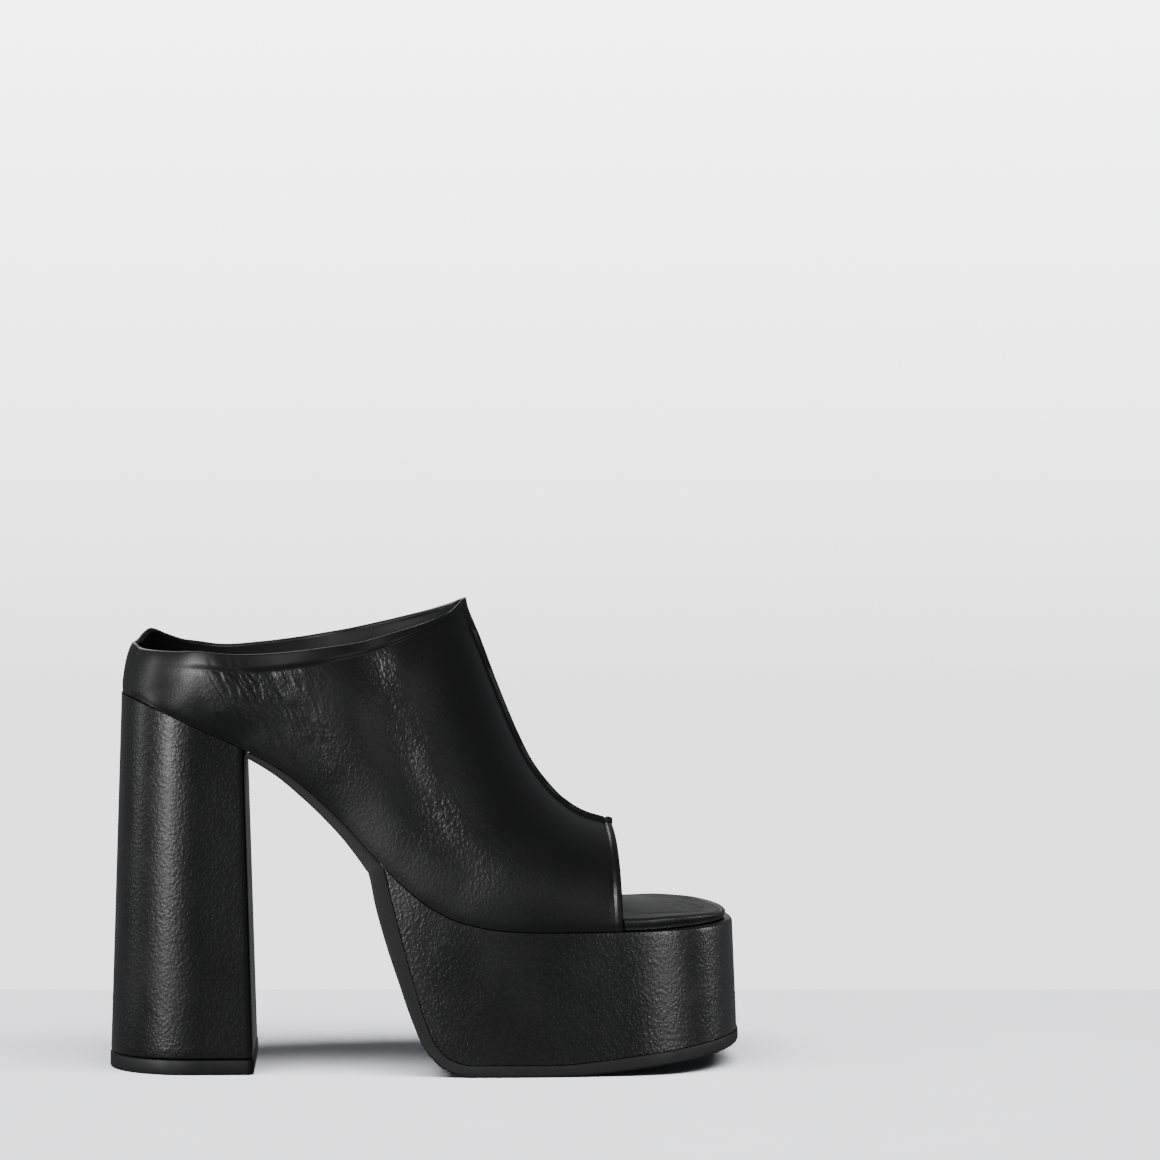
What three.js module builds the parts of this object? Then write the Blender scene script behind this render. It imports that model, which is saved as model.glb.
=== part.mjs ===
import * as THREE from 'three';

// Platform mule for the right foot: a closed leather upper with an open toe and an open heel collar,
// a padded insole, a leather-covered platform and block heel, a rubber outsole and a heel top lift.
// Millimetres, +Z up, toe towards +X, outer side of the foot towards -Y.
// Heights start at the floor. In the tables, along is a share of SHOE_LENGTH from the heel's back.

// Main sizes
const SHOE_LENGTH = 232.5;
const BALL_WIDTH = 89.4;
const HEEL_WIDTH = 60;
const HEEL_HEIGHT = 137.5; // floor to the upper's lower edge at the back
const PLATFORM_HEIGHT = 52; // floor to the upper's lower edge at the ball
const INSTEP_HEIGHT = 171.7; // floor to the collar's front peak
const BACK_WALL = 16.1; // the upper's wall at the back of the heel
const INNER_RISE = 6.5; // extra height of the collar at the back of the inner side
const VAMP_HEIGHT = 36.1; // the toe opening above the platform
const FULLNESS = 4; // how far the upper's sides swell at most, of which belly and swell are shares

// Thicknesses and clearances
const WALL = 2.2;
const INSOLE_THICKNESS = 3.9;
const INSOLE_RIM = 1.1; // roll of the insole's top edge
const INSOLE_BOARD = 1.4; // lower band of the insole's edge
const BOARD_STEP = 0.5; // how far the lower band is set in
const OUTSOLE_THICKNESS = 4.2;
const OUTSOLE_LIP = 0.5; // outsole's edge beyond the platform
const OUTSOLE_EDGE = 0.9; // small bevel along the outsole's lower edge
const TOP_LIFT_THICKNESS = 5.4;
const TOP_LIFT_LIP = 0.3;
const TOE_SPRING = 8;
const SEAM_HEIGHT = 0.9;
const SEAM_FLAT = 0.8; // half the width of the centre seam's top
const SEAM_FOOT = 1.3; // half the width of the centre seam's foot
const PLATFORM_SHOULDER = 1.8; // rounding of the platform's top edge at the toe
const PLATFORM_FLARE = 1.6; // platform's foot beyond its top at the toe
const GAP = 0.3;

// Places along the length
const SEAT_SET_IN = 3.9; // upper's back edge in front of the heel's lowest back edge
const TOE_SET_IN = 2.6; // platform's top edge behind the outsole's tip
const BREAST_TOP = 49.4; // heel breast from the back, at the seat
const BREAST_FOOT = 52.8; // heel breast from the back, at the floor
const HEEL_FOOT_WIDTH = 62;
const HEEL_CORNER = 2; // rounding between the heel's side and its breast
const HEEL_ROUND = 29; // reach of the round heel end
const COLLAR_ROUND = 25;
const OUTER_TOE_ROUND = 45;
const INNER_TOE_ROUND = 31;
const TIP_OFFSET = 3; // toe tip towards the inner side
const TOE_POWER = 2.4; // above 2, the toe is squarer than an ellipse
const HEEL_POWER = 2.1;

// Lower edge of the upper: rise is a share from the platform's to the heel's height
const FEATHER = [
  { along: 0.0168, rise: 1 },
  { along: 0.079, rise: 0.93 },
  { along: 0.142, rise: 0.852 },
  { along: 0.204, rise: 0.775 },
  { along: 0.2695, rise: 0.68 },
  { along: 0.3175, rise: 0.579 },
  { along: 0.369, rise: 0.448 },
  { along: 0.412, rise: 0.322 },
  { along: 0.46, rise: 0.192 },
  { along: 0.504, rise: 0.1 },
  { along: 0.549, rise: 0.043 },
  { along: 0.62, rise: 0.007 },
  { along: 0.694, rise: 0 },
  { along: 0.81, rise: 0.002 },
  { along: 0.894, rise: 0.01 },
  { along: 0.99, rise: 0.018 },
];

// Half widths of the foot's outline: 0 is the heel's half width and 1 the ball's
const OUTLINE = [
  { along: 0.01, outer: -0.03, inner: -0.09 },
  { along: 0.134, outer: -0.03, inner: -0.09 },
  { along: 0.216, outer: 0.03, inner: -0.1 },
  { along: 0.285, outer: 0.09, inner: -0.18 },
  { along: 0.354, outer: 0.22, inner: -0.22 },
  { along: 0.435, outer: 0.54, inner: -0.1 },
  { along: 0.5, outer: 0.77, inner: 0.12 },
  { along: 0.586, outer: 0.95, inner: 0.52 },
  { along: 0.672, outer: 1, inner: 0.84 },
  { along: 0.745, outer: 0.99, inner: 0.98 },
  { along: 0.81, outer: 0.95, inner: 1 },
  { along: 0.99, outer: 0.85, inner: 0.93 },
];

// Collar height: 0 is the top of the back wall and 1 the front peak; lift is a share of INNER_RISE
const COLLAR = [
  { along: 0.033, rise: 0, outerLift: 0.25, innerLift: 0.25 },
  { along: 0.044, rise: 0, outerLift: 0.03, innerLift: 0.75 },
  { along: 0.055, rise: -0.01, outerLift: 0, innerLift: 1 },
  { along: 0.083, rise: -0.02, outerLift: 0, innerLift: 0.64 },
  { along: 0.115, rise: -0.03, outerLift: 0, innerLift: 0.22 },
  { along: 0.166, rise: -0.03, outerLift: 0, innerLift: 0 },
  { along: 0.231, rise: 0.03, outerLift: 0, innerLift: 0 },
  { along: 0.295, rise: 0.13, outerLift: 0, innerLift: 0 },
  { along: 0.371, rise: 0.3, outerLift: 0, innerLift: 0 },
  { along: 0.463, rise: 0.58, outerLift: 0, innerLift: 0 },
  { along: 0.535, rise: 0.86, outerLift: 0, innerLift: 0 },
  { along: 0.56, rise: 1, outerLift: 0, innerLift: 0 },
];

// Half width of the collar, as a share of the heel's half width
const COLLAR_PLAN = [
  { along: 0.033, half: 0.84 },
  { along: 0.14, half: 0.88 },
  { along: 0.216, half: 0.93 },
  { along: 0.302, half: 0.93 },
  { along: 0.375, half: 0.87 },
  { along: 0.453, half: 0.71 },
  { along: 0.513, half: 0.47 },
  { along: 0.545, half: 0.25 },
  { along: 0.56, half: 0 },
];

// Ridge of the vamp: 0 is the toe opening's height and 1 the front peak
const RIDGE = [
  { along: 0.56, rise: 1 },
  { along: 0.563, rise: 0.955 },
  { along: 0.5795, rise: 0.82 },
  { along: 0.604, rise: 0.637 },
  { along: 0.624, rise: 0.495 },
  { along: 0.64, rise: 0.39 },
  { along: 0.66, rise: 0.28 },
  { along: 0.681, rise: 0.194 },
  { along: 0.713, rise: 0.099 },
  { along: 0.749, rise: 0.035 },
  { along: 0.792, rise: 0 },
];

// Sections of the upper, fanned from the heel to the toe opening. A section climbs from along on the
// lower edge to crest on the top line. Its curve leaves the lower edge by hip, a share of its height,
// and belly outside it, and reaches the top from sag, a share of its height, and from shoulder, a share
// of the way out to the lower edge, with swell more outwards. Belly and swell are shares of FULLNESS.
const FAN = [
  { along: 0.0168, crest: 0.033, hip: 0.3, belly: 0.2, sag: 0.24, shoulder: 0.6, swell: 0.4 },
  { along: 0.113, crest: 0.119, hip: 0.3, belly: 0.3, sag: 0.3, shoulder: 0.9, swell: 0.3 },
  { along: 0.165, crest: 0.173, hip: 0.3, belly: 0.35, sag: 0.32, shoulder: 1, swell: 0.25 },
  { along: 0.216, crest: 0.238, hip: 0.32, belly: 0.45, sag: 0.34, shoulder: 1, swell: 0.25 },
  { along: 0.251, crest: 0.302, hip: 0.34, belly: 0.55, sag: 0.34, shoulder: 1, swell: 0.2 },
  { along: 0.281, crest: 0.375, hip: 0.36, belly: 0.65, sag: 0.32, shoulder: 1, swell: 0.15 },
  { along: 0.311, crest: 0.453, hip: 0.38, belly: 0.75, sag: 0.26, shoulder: 0.95, swell: 0.1 },
  { along: 0.334, crest: 0.513, hip: 0.4, belly: 0.75, sag: 0.16, shoulder: 0.85, swell: 0.05 },
  { along: 0.354, crest: 0.56, hip: 0.42, belly: 0.75, sag: 0.07, shoulder: 0.7, swell: 0 },
  { along: 0.414, crest: 0.5925, hip: 0.44, belly: 0.6, sag: 0.05, shoulder: 0.64, swell: 0 },
  { along: 0.478, crest: 0.627, hip: 0.47, belly: 0.45, sag: 0.05, shoulder: 0.62, swell: 0 },
  { along: 0.552, crest: 0.6655, hip: 0.5, belly: 0.3, sag: 0.05, shoulder: 0.62, swell: 0 },
  { along: 0.629, crest: 0.704, hip: 0.55, belly: 0.2, sag: 0.05, shoulder: 0.62, swell: 0 },
  { along: 0.715, crest: 0.7465, hip: 0.6, belly: 0.15, sag: 0.05, shoulder: 0.62, swell: 0 },
  { along: 0.795, crest: 0.792, hip: 0.62, belly: 0.1, sag: 0.05, shoulder: 0.62, swell: 0 },
];

// Upper face of the outsole. In front of the platform's wedge tip, back is a share of the wedge tip's
// height and spring a share of TOE_SPRING. thickness is a share of OUTSOLE_THICKNESS, measured along a
// direction that leans back from straight down by lean degrees.
const OUTSOLE = [
  { along: 0.22, back: 1, spring: 0, thickness: 0.3, lean: 24 },
  { along: 0.259, back: 1, spring: 0, thickness: 0.4, lean: 30 },
  { along: 0.294, back: 1, spring: 0, thickness: 0.6, lean: 37 },
  { along: 0.337, back: 1, spring: 0, thickness: 0.85, lean: 44 },
  { along: 0.38, back: 1, spring: 0, thickness: 0.98, lean: 49 },
  { along: 0.409, back: 1, spring: 0, thickness: 1.15, lean: 56 },
  { along: 0.424, back: 1, spring: 0, thickness: 1.28, lean: 63 },
  { along: 0.4415, back: 0.804, spring: 0, thickness: 1.25, lean: 70 },
  { along: 0.4575, back: 0.603, spring: 0, thickness: 1.12, lean: 74 },
  { along: 0.473, back: 0.418, spring: 0, thickness: 1.0, lean: 75 },
  { along: 0.489, back: 0.245, spring: 0, thickness: 0.92, lean: 71 },
  { along: 0.508, back: 0.103, spring: 0, thickness: 0.9, lean: 56 },
  { along: 0.533, back: 0.026, spring: 0, thickness: 0.95, lean: 28 },
  { along: 0.5645, back: 0, spring: 0, thickness: 1, lean: 0 },
  { along: 0.698, back: 0, spring: 0, thickness: 1, lean: 0 },
  { along: 0.767, back: 0, spring: 0.17, thickness: 1.06, lean: 0 },
  { along: 0.844, back: 0, spring: 0.45, thickness: 1.14, lean: 0 },
  { along: 0.9215, back: 0, spring: 0.73, thickness: 1.16, lean: 0 },
  { along: 0.97, back: 0, spring: 0.91, thickness: 1.1, lean: 0 },
  { along: 1, back: 0, spring: 1, thickness: 0.95, lean: 0 },
];
const WEDGE_TIP = 0.424; // where the platform starts under the waist
const LIP_START = 0.05; // share of the length over which the outsole's edge steps out under the platform

// Sections of the platform: from along on its top to foot on the outsole
const PLATFORM = [
  { along: WEDGE_TIP, foot: WEDGE_TIP },
  { along: 0.457, foot: 0.4395 },
  { along: 0.493, foot: 0.4615 },
  { along: 0.53, foot: 0.4855 },
  { along: 0.567, foot: 0.512 },
  { along: 0.62, foot: 0.577 },
  { along: 0.7, foot: 0.69 },
  { along: 0.8, foot: 0.8 },
  { along: 1, foot: 1 },
];

// Insole's thickness as a share of INSOLE_THICKNESS, which thins out towards the toe
const INSOLE = [
  { along: 0.02, thickness: 1 },
  { along: 0.88, thickness: 1 },
  { along: 0.95, thickness: 0.8 },
  { along: 0.99, thickness: 0.55 },
];
const INSOLE_SET_IN = 0.7; // insole's edge inside the platform's side, in the toe opening
const INSOLE_TOE_SET_IN = 2.6; // and at the toe tip
const INSOLE_STEP = 0.006; // share of the length over which it widens in front of the upper
const ROLL_CUT = 0.3; // where a rolled edge is halfway round, as a share of its radius

// Counts of sections and points
const REAR_SECTIONS = 22;
const VAMP_SECTIONS = 15;
const WALL_POINTS = 8;
const WAIST_SECTIONS = 11;
const PLATFORM_SECTIONS = 38;
const PLATFORM_CROWDING = 1.3; // above 1, its sections crowd at its back
const INSOLE_SECTIONS = 32;
const INSOLE_TOE_SECTIONS = 14;
const HEEL_SECTIONS = 4;
const HEEL_POINTS = 15;
const CORNER_POINTS = 3;
const SEAM_START_SECTIONS = 2; // sections over which the centre seam rises from the collar's peak

const OUTER = -1;
const INNER = 1;
const TURN_STEP = 0.002; // the outline's direction is measured over twice this turn
const SOLE_STEP = 0.002; // and the outsole's slope over twice this share of the length
const INSOLE_SLOPE_STEP = 1; // and the insole's slope over twice these millimetres
const BACK = SEAT_SET_IN;
const TIP = SHOE_LENGTH - TOE_SET_IN;
const PEAK = COLLAR[COLLAR.length - 1].along;
const OPENING = FAN[FAN.length - 1].along;

const { lerp, clamp, smoothstep, degToRad } = THREE.MathUtils;

// Smooth monotone value of a table's column at a share of the length
function columnAt(table, column, along) {
  const last = table.length - 1;
  const place = clamp(along, table[0].along, table[last].along);
  let row = 0;
  while (row < last - 1 && place > table[row + 1].along) row += 1;
  const width = (i) => table[i + 1].along - table[i].along;
  const slope = (i) => (table[i + 1][column] - table[i][column]) / width(i);
  const tangent = (i) => {
    if (i === 0) return slope(0);
    if (i === last) return slope(last - 1);
    const before = slope(i - 1);
    const after = slope(i);
    if (before * after <= 0) return 0;
    const heavy = 2 * width(i) + width(i - 1);
    const light = width(i) + 2 * width(i - 1);
    return (heavy + light) / (heavy / before + light / after);
  };
  const t = (place - table[row].along) / width(row);
  const start = (1 + 2 * t) * (1 - t) ** 2 * table[row][column];
  const end = t * t * (3 - 2 * t) * table[row + 1][column];
  const bendStart = t * (1 - t) ** 2 * width(row) * tangent(row);
  const bendEnd = t * t * (t - 1) * width(row) * tangent(row + 1);
  return start + end + bendStart + bendEnd;
}

// Share of full width at a distance from a round end
function roundEnd(distance, reach, power) {
  const left = 1 - clamp(distance / reach, 0, 1);
  return (1 - left ** power) ** (1 / power);
}

function featherHeight(x) {
  const rise = columnAt(FEATHER, 'rise', x / SHOE_LENGTH);
  return lerp(PLATFORM_HEIGHT, HEEL_HEIGHT, rise);
}

// Signed y of the foot's outline on one side
function outlineY(side, x) {
  const share = columnAt(OUTLINE, side === OUTER ? 'outer' : 'inner', x / SHOE_LENGTH);
  const half = lerp(HEEL_WIDTH / 2, BALL_WIDTH / 2, share);
  const toeReach = side === OUTER ? OUTER_TOE_ROUND : INNER_TOE_ROUND;
  const toe = roundEnd(TIP - x, toeReach, TOE_POWER);
  const heel = roundEnd(x - BACK, HEEL_ROUND, HEEL_POWER);
  return lerp(TIP_OFFSET, side * half, toe) * heel;
}

// Sections crowd towards the round ends: turn runs evenly from 0 at the heel to 1 at the toe tip
function xAtTurn(turn) {
  return BACK + ((TIP - BACK) * (1 - Math.cos(Math.PI * turn))) / 2;
}

function turnAtX(x) {
  return Math.acos(1 - (2 * (x - BACK)) / (TIP - BACK)) / Math.PI;
}

// Point of the foot's outline at a turn, moved outwards by offset, with its outward direction
function planPoint(side, turn, offset) {
  const at = (t) => {
    const inside = t < 0 ? -t : t > 1 ? 2 - t : t;
    const own = t >= 0 && t <= 1;
    const x = xAtTurn(inside);
    return new THREE.Vector2(x, outlineY(own ? side : -side, x));
  };
  const tangent = at(turn + TURN_STEP).sub(at(turn - TURN_STEP)).normalize();
  const out = new THREE.Vector2(-tangent.y * side, tangent.x * side);
  const point = at(turn);
  return { x: point.x + out.x * offset, y: point.y + out.y * offset, out };
}

function collarHeight(side, x) {
  const along = x / SHOE_LENGTH;
  const backTop = HEEL_HEIGHT + BACK_WALL;
  const lift = columnAt(COLLAR, side === OUTER ? 'outerLift' : 'innerLift', along);
  return lerp(backTop, INSTEP_HEIGHT, columnAt(COLLAR, 'rise', along)) + lift * INNER_RISE;
}

function ridgeHeight(x) {
  const rise = columnAt(RIDGE, 'rise', x / SHOE_LENGTH);
  return lerp(PLATFORM_HEIGHT + VAMP_HEIGHT, INSTEP_HEIGHT, rise);
}

// Upper face of the outsole: along the upper's lower edge under the waist, then down the platform's
// back and along its foot
function outsoleTop(x) {
  const along = x / SHOE_LENGTH;
  if (along <= WEDGE_TIP) return featherHeight(x) - GAP;
  const wedge = featherHeight(WEDGE_TIP * SHOE_LENGTH) - GAP;
  const back = lerp(OUTSOLE_THICKNESS, wedge, columnAt(OUTSOLE, 'back', along));
  return back + TOE_SPRING * columnAt(OUTSOLE, 'spring', along);
}

// Sections and strips to solids

function solid(name, points, triangles, material) {
  const geometry = new THREE.BufferGeometry();
  geometry.setAttribute('position', new THREE.Float32BufferAttribute(points.flat(), 3));
  geometry.setIndex(triangles.flat());
  geometry.computeVertexNormals();
  const mesh = new THREE.Mesh(geometry, material);
  mesh.name = name;
  return mesh;
}

// Closed solid through rings of points, which run clockwise as seen along the loft; each end is
// closed in strips between point i and its partner on the other side
function loft(name, rings, material) {
  const count = rings[0].length;
  const triangles = [];
  const at = (ring, i) => ring * count + (i % count);
  for (let ring = 0; ring < rings.length - 1; ring += 1) {
    for (let i = 0; i < count; i += 1) {
      const corners = [at(ring, i), at(ring, i + 1), at(ring + 1, i + 1), at(ring + 1, i)];
      triangles.push([corners[0], corners[1], corners[2]], [corners[0], corners[2], corners[3]]);
    }
  }
  const last = rings.length - 1;
  for (let i = 0; i < count / 2 - 1; i += 1) {
    const j = count - 1 - i;
    triangles.push([at(0, i), at(0, j), at(0, j - 1)], [at(0, i), at(0, j - 1), at(0, i + 1)]);
    triangles.push([at(last, i), at(last, j - 1), at(last, j)]);
    triangles.push([at(last, i), at(last, i + 1), at(last, j - 1)]);
  }
  return solid(name, rings.flat(), triangles, material);
}

// Both sides of a section as one ring: the first side's points, then the other's in reverse. A loft
// along the shoe starts with the inner side, from the bottom up, and a loft upwards with the outer
function ringOf(side, first = INNER) {
  return [...side(first), ...side(-first).reverse()];
}

function evenly(from, to, count) {
  return Array.from({ length: count + 1 }, (_, i) => lerp(from, to, i / count));
}

// Upper

// Curve of the upper's outside from its lower edge to its top line, at a share of the length
function wallSection(side, along) {
  const row = (column) => columnAt(FAN, column, along);
  const foot = planPoint(side, turnAtX(Math.max(along * SHOE_LENGTH, BACK)), 0);
  const crestX = row('crest') * SHOE_LENGTH;
  const open = crestX < PEAK * SHOE_LENGTH;
  const collarBack = COLLAR[0].along * SHOE_LENGTH;
  const half = (HEEL_WIDTH / 2) * columnAt(COLLAR_PLAN, 'half', row('crest'));
  const crestY = open ? side * half * roundEnd(crestX - collarBack, COLLAR_ROUND, HEEL_POWER) : 0;
  const crestZ = open ? collarHeight(side, crestX) : ridgeHeight(crestX);
  const start = new THREE.Vector3(foot.x, foot.y, featherHeight(foot.x));
  const end = new THREE.Vector3(crestX, crestY, crestZ);
  const climb = new THREE.Vector3(end.x - start.x, 0, end.z - start.z);
  const out = new THREE.Vector3(foot.out.x, foot.out.y, 0);
  const hip = start.clone().addScaledVector(climb, row('hip')).addScaledVector(out, row('belly') * FULLNESS);
  const shoulder = end.clone().addScaledVector(climb, -row('sag'));
  shoulder.y += (start.y - end.y) * row('shoulder');
  shoulder.addScaledVector(out, row('swell') * FULLNESS);
  return new THREE.CubicBezierCurve3(start, hip, shoulder, end);
}

// Places of a section's points: even along the wall, then the foot and the top of the centre seam
function wallPlaces(curve) {
  const endSpeed = 3 * curve.v3.distanceTo(curve.v2);
  const seamFoot = 1 - SEAM_FOOT / endSpeed;
  const places = evenly(0, seamFoot, WALL_POINTS);
  return [...places, 1 - SEAM_FLAT / endSpeed, 1];
}

function makeUpper(material) {
  const rear = evenly(0, turnAtX(columnAtPeak() * SHOE_LENGTH), REAR_SECTIONS);
  const front = evenly(columnAtPeak(), OPENING, VAMP_SECTIONS).slice(1);
  const stations = [...rear.map((turn) => xAtTurn(turn) / SHOE_LENGTH), ...front];
  const last = stations.length - 1;
  const columns = WALL_POINTS + 3;
  const points = [];
  const raised = [];
  const index = new Map();
  const key = (row, i) => row * columns + i;
  // Rows run from the outer side's toe opening round the heel to the inner side's
  for (let row = 0; row <= 2 * last; row += 1) {
    const station = Math.abs(row - last);
    const curve = wallSection(row < last ? OUTER : INNER, stations[station]);
    const seamStart = REAR_SECTIONS + SEAM_START_SECTIONS;
    const seam = smoothstep(station, REAR_SECTIONS, seamStart) * SEAM_HEIGHT;
    wallPlaces(curve).forEach((place, i) => {
      const ridge = i === columns - 1 && station >= REAR_SECTIONS;
      if (ridge && row > last) {
        index.set(key(row, i), index.get(key(2 * last - row, i)));
        return;
      }
      index.set(key(row, i), points.length);
      points.push(curve.getPoint(place));
      raised.push(i >= columns - 2 ? seam : 0);
    });
  }
  const at = (row, i) => index.get(key(row, i));
  const skin = [];
  for (let row = 0; row < 2 * last; row += 1) {
    for (let i = 0; i < columns - 1; i += 1) {
      const corners = [at(row, i), at(row, i + 1), at(row + 1, i + 1), at(row + 1, i)];
      skin.push([corners[0], corners[1], corners[2]], [corners[0], corners[2], corners[3]]);
    }
  }
  const surface = solid('', points.map((p) => p.toArray()), skin, material).geometry;
  const normals = surface.getAttribute('normal');
  const outside = [];
  const inside = [];
  points.forEach((point, i) => {
    const normal = new THREE.Vector3().fromBufferAttribute(normals, i);
    outside.push(point.clone().addScaledVector(normal, raised[i]).toArray());
    inside.push(point.clone().addScaledVector(normal, -WALL).toArray());
  });
  for (let row = 0; row <= 2 * last; row += 1) {
    const low = inside[at(row, 0)];
    low[2] = featherHeight(low[0]);
  }
  // Edges of the wall: the lower edge, the collar and the two sides of the toe opening
  const inner = (i) => i + points.length;
  const triangles = [...skin, ...skin.map(([a, b, c]) => [inner(a), inner(c), inner(b)])];
  const strip = (a, b) => triangles.push([a, b, inner(b)], [a, inner(b), inner(a)]);
  for (let row = 0; row < 2 * last; row += 1) {
    strip(at(row, 0), at(row + 1, 0));
    const behindPeak = row >= last - REAR_SECTIONS && row < last + REAR_SECTIONS;
    if (behindPeak) strip(at(row + 1, columns - 1), at(row, columns - 1));
  }
  for (let i = 0; i < columns - 1; i += 1) {
    strip(at(0, i + 1), at(0, i));
    strip(at(2 * last, i), at(2 * last, i + 1));
  }
  return solid('upper', [...outside, ...inside], triangles, material);
}

// Place on the lower edge of the section that climbs to the collar's peak
function columnAtPeak() {
  return FAN.find((row) => row.crest === PEAK).along;
}

// Insole

function insoleInset(x) {
  const along = x / SHOE_LENGTH;
  const hidden = WALL + 2 * GAP;
  const toe = smoothstep(along, OPENING + INSOLE_STEP, 1);
  const open = lerp(INSOLE_SET_IN, INSOLE_TOE_SET_IN, toe);
  return lerp(hidden, open, smoothstep(along, OPENING, OPENING + INSOLE_STEP));
}

function makeInsole(material) {
  const before = evenly(0, turnAtX(OPENING * SHOE_LENGTH), INSOLE_SECTIONS);
  const widened = turnAtX((OPENING + INSOLE_STEP) * SHOE_LENGTH);
  const after = evenly(widened, 1, INSOLE_TOE_SECTIONS);
  const rings = [...before, ...after].map((turn) => ringOf((side) => {
    const x = xAtTurn(turn);
    const inset = insoleInset(x);
    const thick = INSOLE_THICKNESS * columnAt(INSOLE, 'thickness', x / SHOE_LENGTH);
    const rim = Math.min(INSOLE_RIM, thick - INSOLE_BOARD);
    const rise = featherHeight(x + INSOLE_SLOPE_STEP) - featherHeight(x - INSOLE_SLOPE_STEP);
    const slope = Math.atan2(rise, 2 * INSOLE_SLOPE_STEP);
    const point = (more, height) => {
      const plan = planPoint(side, turn, -inset - more);
      const z = featherHeight(plan.x) + (GAP + height) / Math.cos(slope);
      return [plan.x, plan.y, z];
    };
    return [
      point(BOARD_STEP, 0),
      point(BOARD_STEP, INSOLE_BOARD),
      point(0, INSOLE_BOARD),
      point(0, thick - rim),
      point(rim * ROLL_CUT, thick - rim * ROLL_CUT),
      point(rim, thick),
    ];
  }));
  return loft('insole', rings, material);
}

// Platform

// Turns of the platform's sections, closer together at its steep back
function platformTurns() {
  const wedge = turnAtX(WEDGE_TIP * SHOE_LENGTH);
  return evenly(0, 1, PLATFORM_SECTIONS).map((share) => lerp(wedge, 1, share ** PLATFORM_CROWDING));
}

// Turn at the foot of the platform's section that has this turn at its top
function platformFootTurn(turn) {
  const foot = columnAt(PLATFORM, 'foot', xAtTurn(turn) / SHOE_LENGTH) * SHOE_LENGTH;
  return turnAtX(Math.min(foot, TIP));
}

function makePlatform(material) {
  const rings = platformTurns().map((turn) => ringOf((side) => {
    const toe = smoothstep(xAtTurn(turn) / SHOE_LENGTH, OPENING, 1);
    const shoulder = lerp(GAP, PLATFORM_SHOULDER, toe);
    const foot = planPoint(side, platformFootTurn(turn), PLATFORM_FLARE * toe);
    const top = planPoint(side, turn, 0);
    const edge = planPoint(side, turn, -shoulder);
    return [
      [foot.x, foot.y, outsoleTop(foot.x) + GAP / Math.cos(outsoleSlope(foot.x))],
      [top.x, top.y, featherHeight(top.x) - GAP - shoulder],
      [edge.x, edge.y, featherHeight(edge.x) - GAP],
    ];
  }));
  return loft('platform', rings, material);
}

function outsoleSlope(x) {
  const step = SHOE_LENGTH * SOLE_STEP;
  return Math.atan2(outsoleTop(x + step) - outsoleTop(x - step), 2 * step);
}

// Outsole

function makeOutsole(material) {
  const waist = [OUTSOLE[0].along, WEDGE_TIP].map((along) => turnAtX(along * SHOE_LENGTH));
  const turns = [...evenly(...waist, WAIST_SECTIONS).slice(0, -1), ...platformTurns().map(platformFootTurn)];
  const rings = turns.map((turn) => ringOf((side) => {
    const along = xAtTurn(turn) / SHOE_LENGTH;
    const toe = smoothstep(along, OPENING, 1);
    const forefoot = smoothstep(along, WEDGE_TIP, WEDGE_TIP + LIP_START);
    const lip = lerp(-OUTSOLE_LIP, OUTSOLE_LIP + PLATFORM_FLARE * toe, forefoot);
    const thick = OUTSOLE_THICKNESS * columnAt(OUTSOLE, 'thickness', along);
    const lean = degToRad(columnAt(OUTSOLE, 'lean', along));
    const bevel = Math.min(OUTSOLE_EDGE, thick / 2);
    const point = (depth, inset) => {
      const plan = planPoint(side, turn, lip - inset);
      const z = outsoleTop(plan.x) - depth * Math.cos(lean);
      return [plan.x - depth * Math.sin(lean), plan.y, z];
    };
    return [point(thick, bevel), point(thick - bevel, 0), point(0, 0)];
  }));
  return loft('outsole', rings, material);
}

// Heel and top lift

// Half of the heel's outline, from its round back to its breast, at a share of its height
function heelSide(side, height, lip) {
  const breast = turnAtX(BREAST_TOP - HEEL_CORNER);
  const seat = evenly(0, breast, HEEL_POINTS).map((turn) => planPoint(side, turn, 0));
  const corner = evenly(0, Math.PI / 2, CORNER_POINTS).slice(1).map((angle) => {
    const edge = outlineY(side, BREAST_TOP - HEEL_CORNER);
    return {
      x: BREAST_TOP - HEEL_CORNER * (1 - Math.sin(angle)),
      y: edge - side * HEEL_CORNER * (1 - Math.cos(angle)),
    };
  });
  const stretch = (BREAST_FOOT + 2 * lip) / (BREAST_TOP - BACK);
  const spread = (HEEL_FOOT_WIDTH + 2 * lip) / HEEL_WIDTH;
  return [...seat, ...corner].map((point) => ({
    x: lerp((point.x - BACK) * stretch - lip, point.x, height),
    y: lerp(point.y * spread, point.y, height),
    seatX: point.x,
  }));
}

function makeHeel(material) {
  const floor = TOP_LIFT_THICKNESS + GAP;
  const rings = evenly(0, 1, HEEL_SECTIONS).map((height) => ringOf((side) => {
    const outline = heelSide(side, height, 0);
    return outline.map((p) => [p.x, p.y, lerp(floor, featherHeight(p.seatX) - GAP, height)]);
  }, OUTER));
  return loft('heel_block', rings, material);
}

function makeTopLift(material) {
  const rings = [0, TOP_LIFT_THICKNESS].map((z) => ringOf((side) => {
    const outline = heelSide(side, 0, TOP_LIFT_LIP);
    return outline.map((p) => [p.x, p.y, z]);
  }, OUTER));
  return loft('heel_top_lift', rings, material);
}

// Materials

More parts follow.
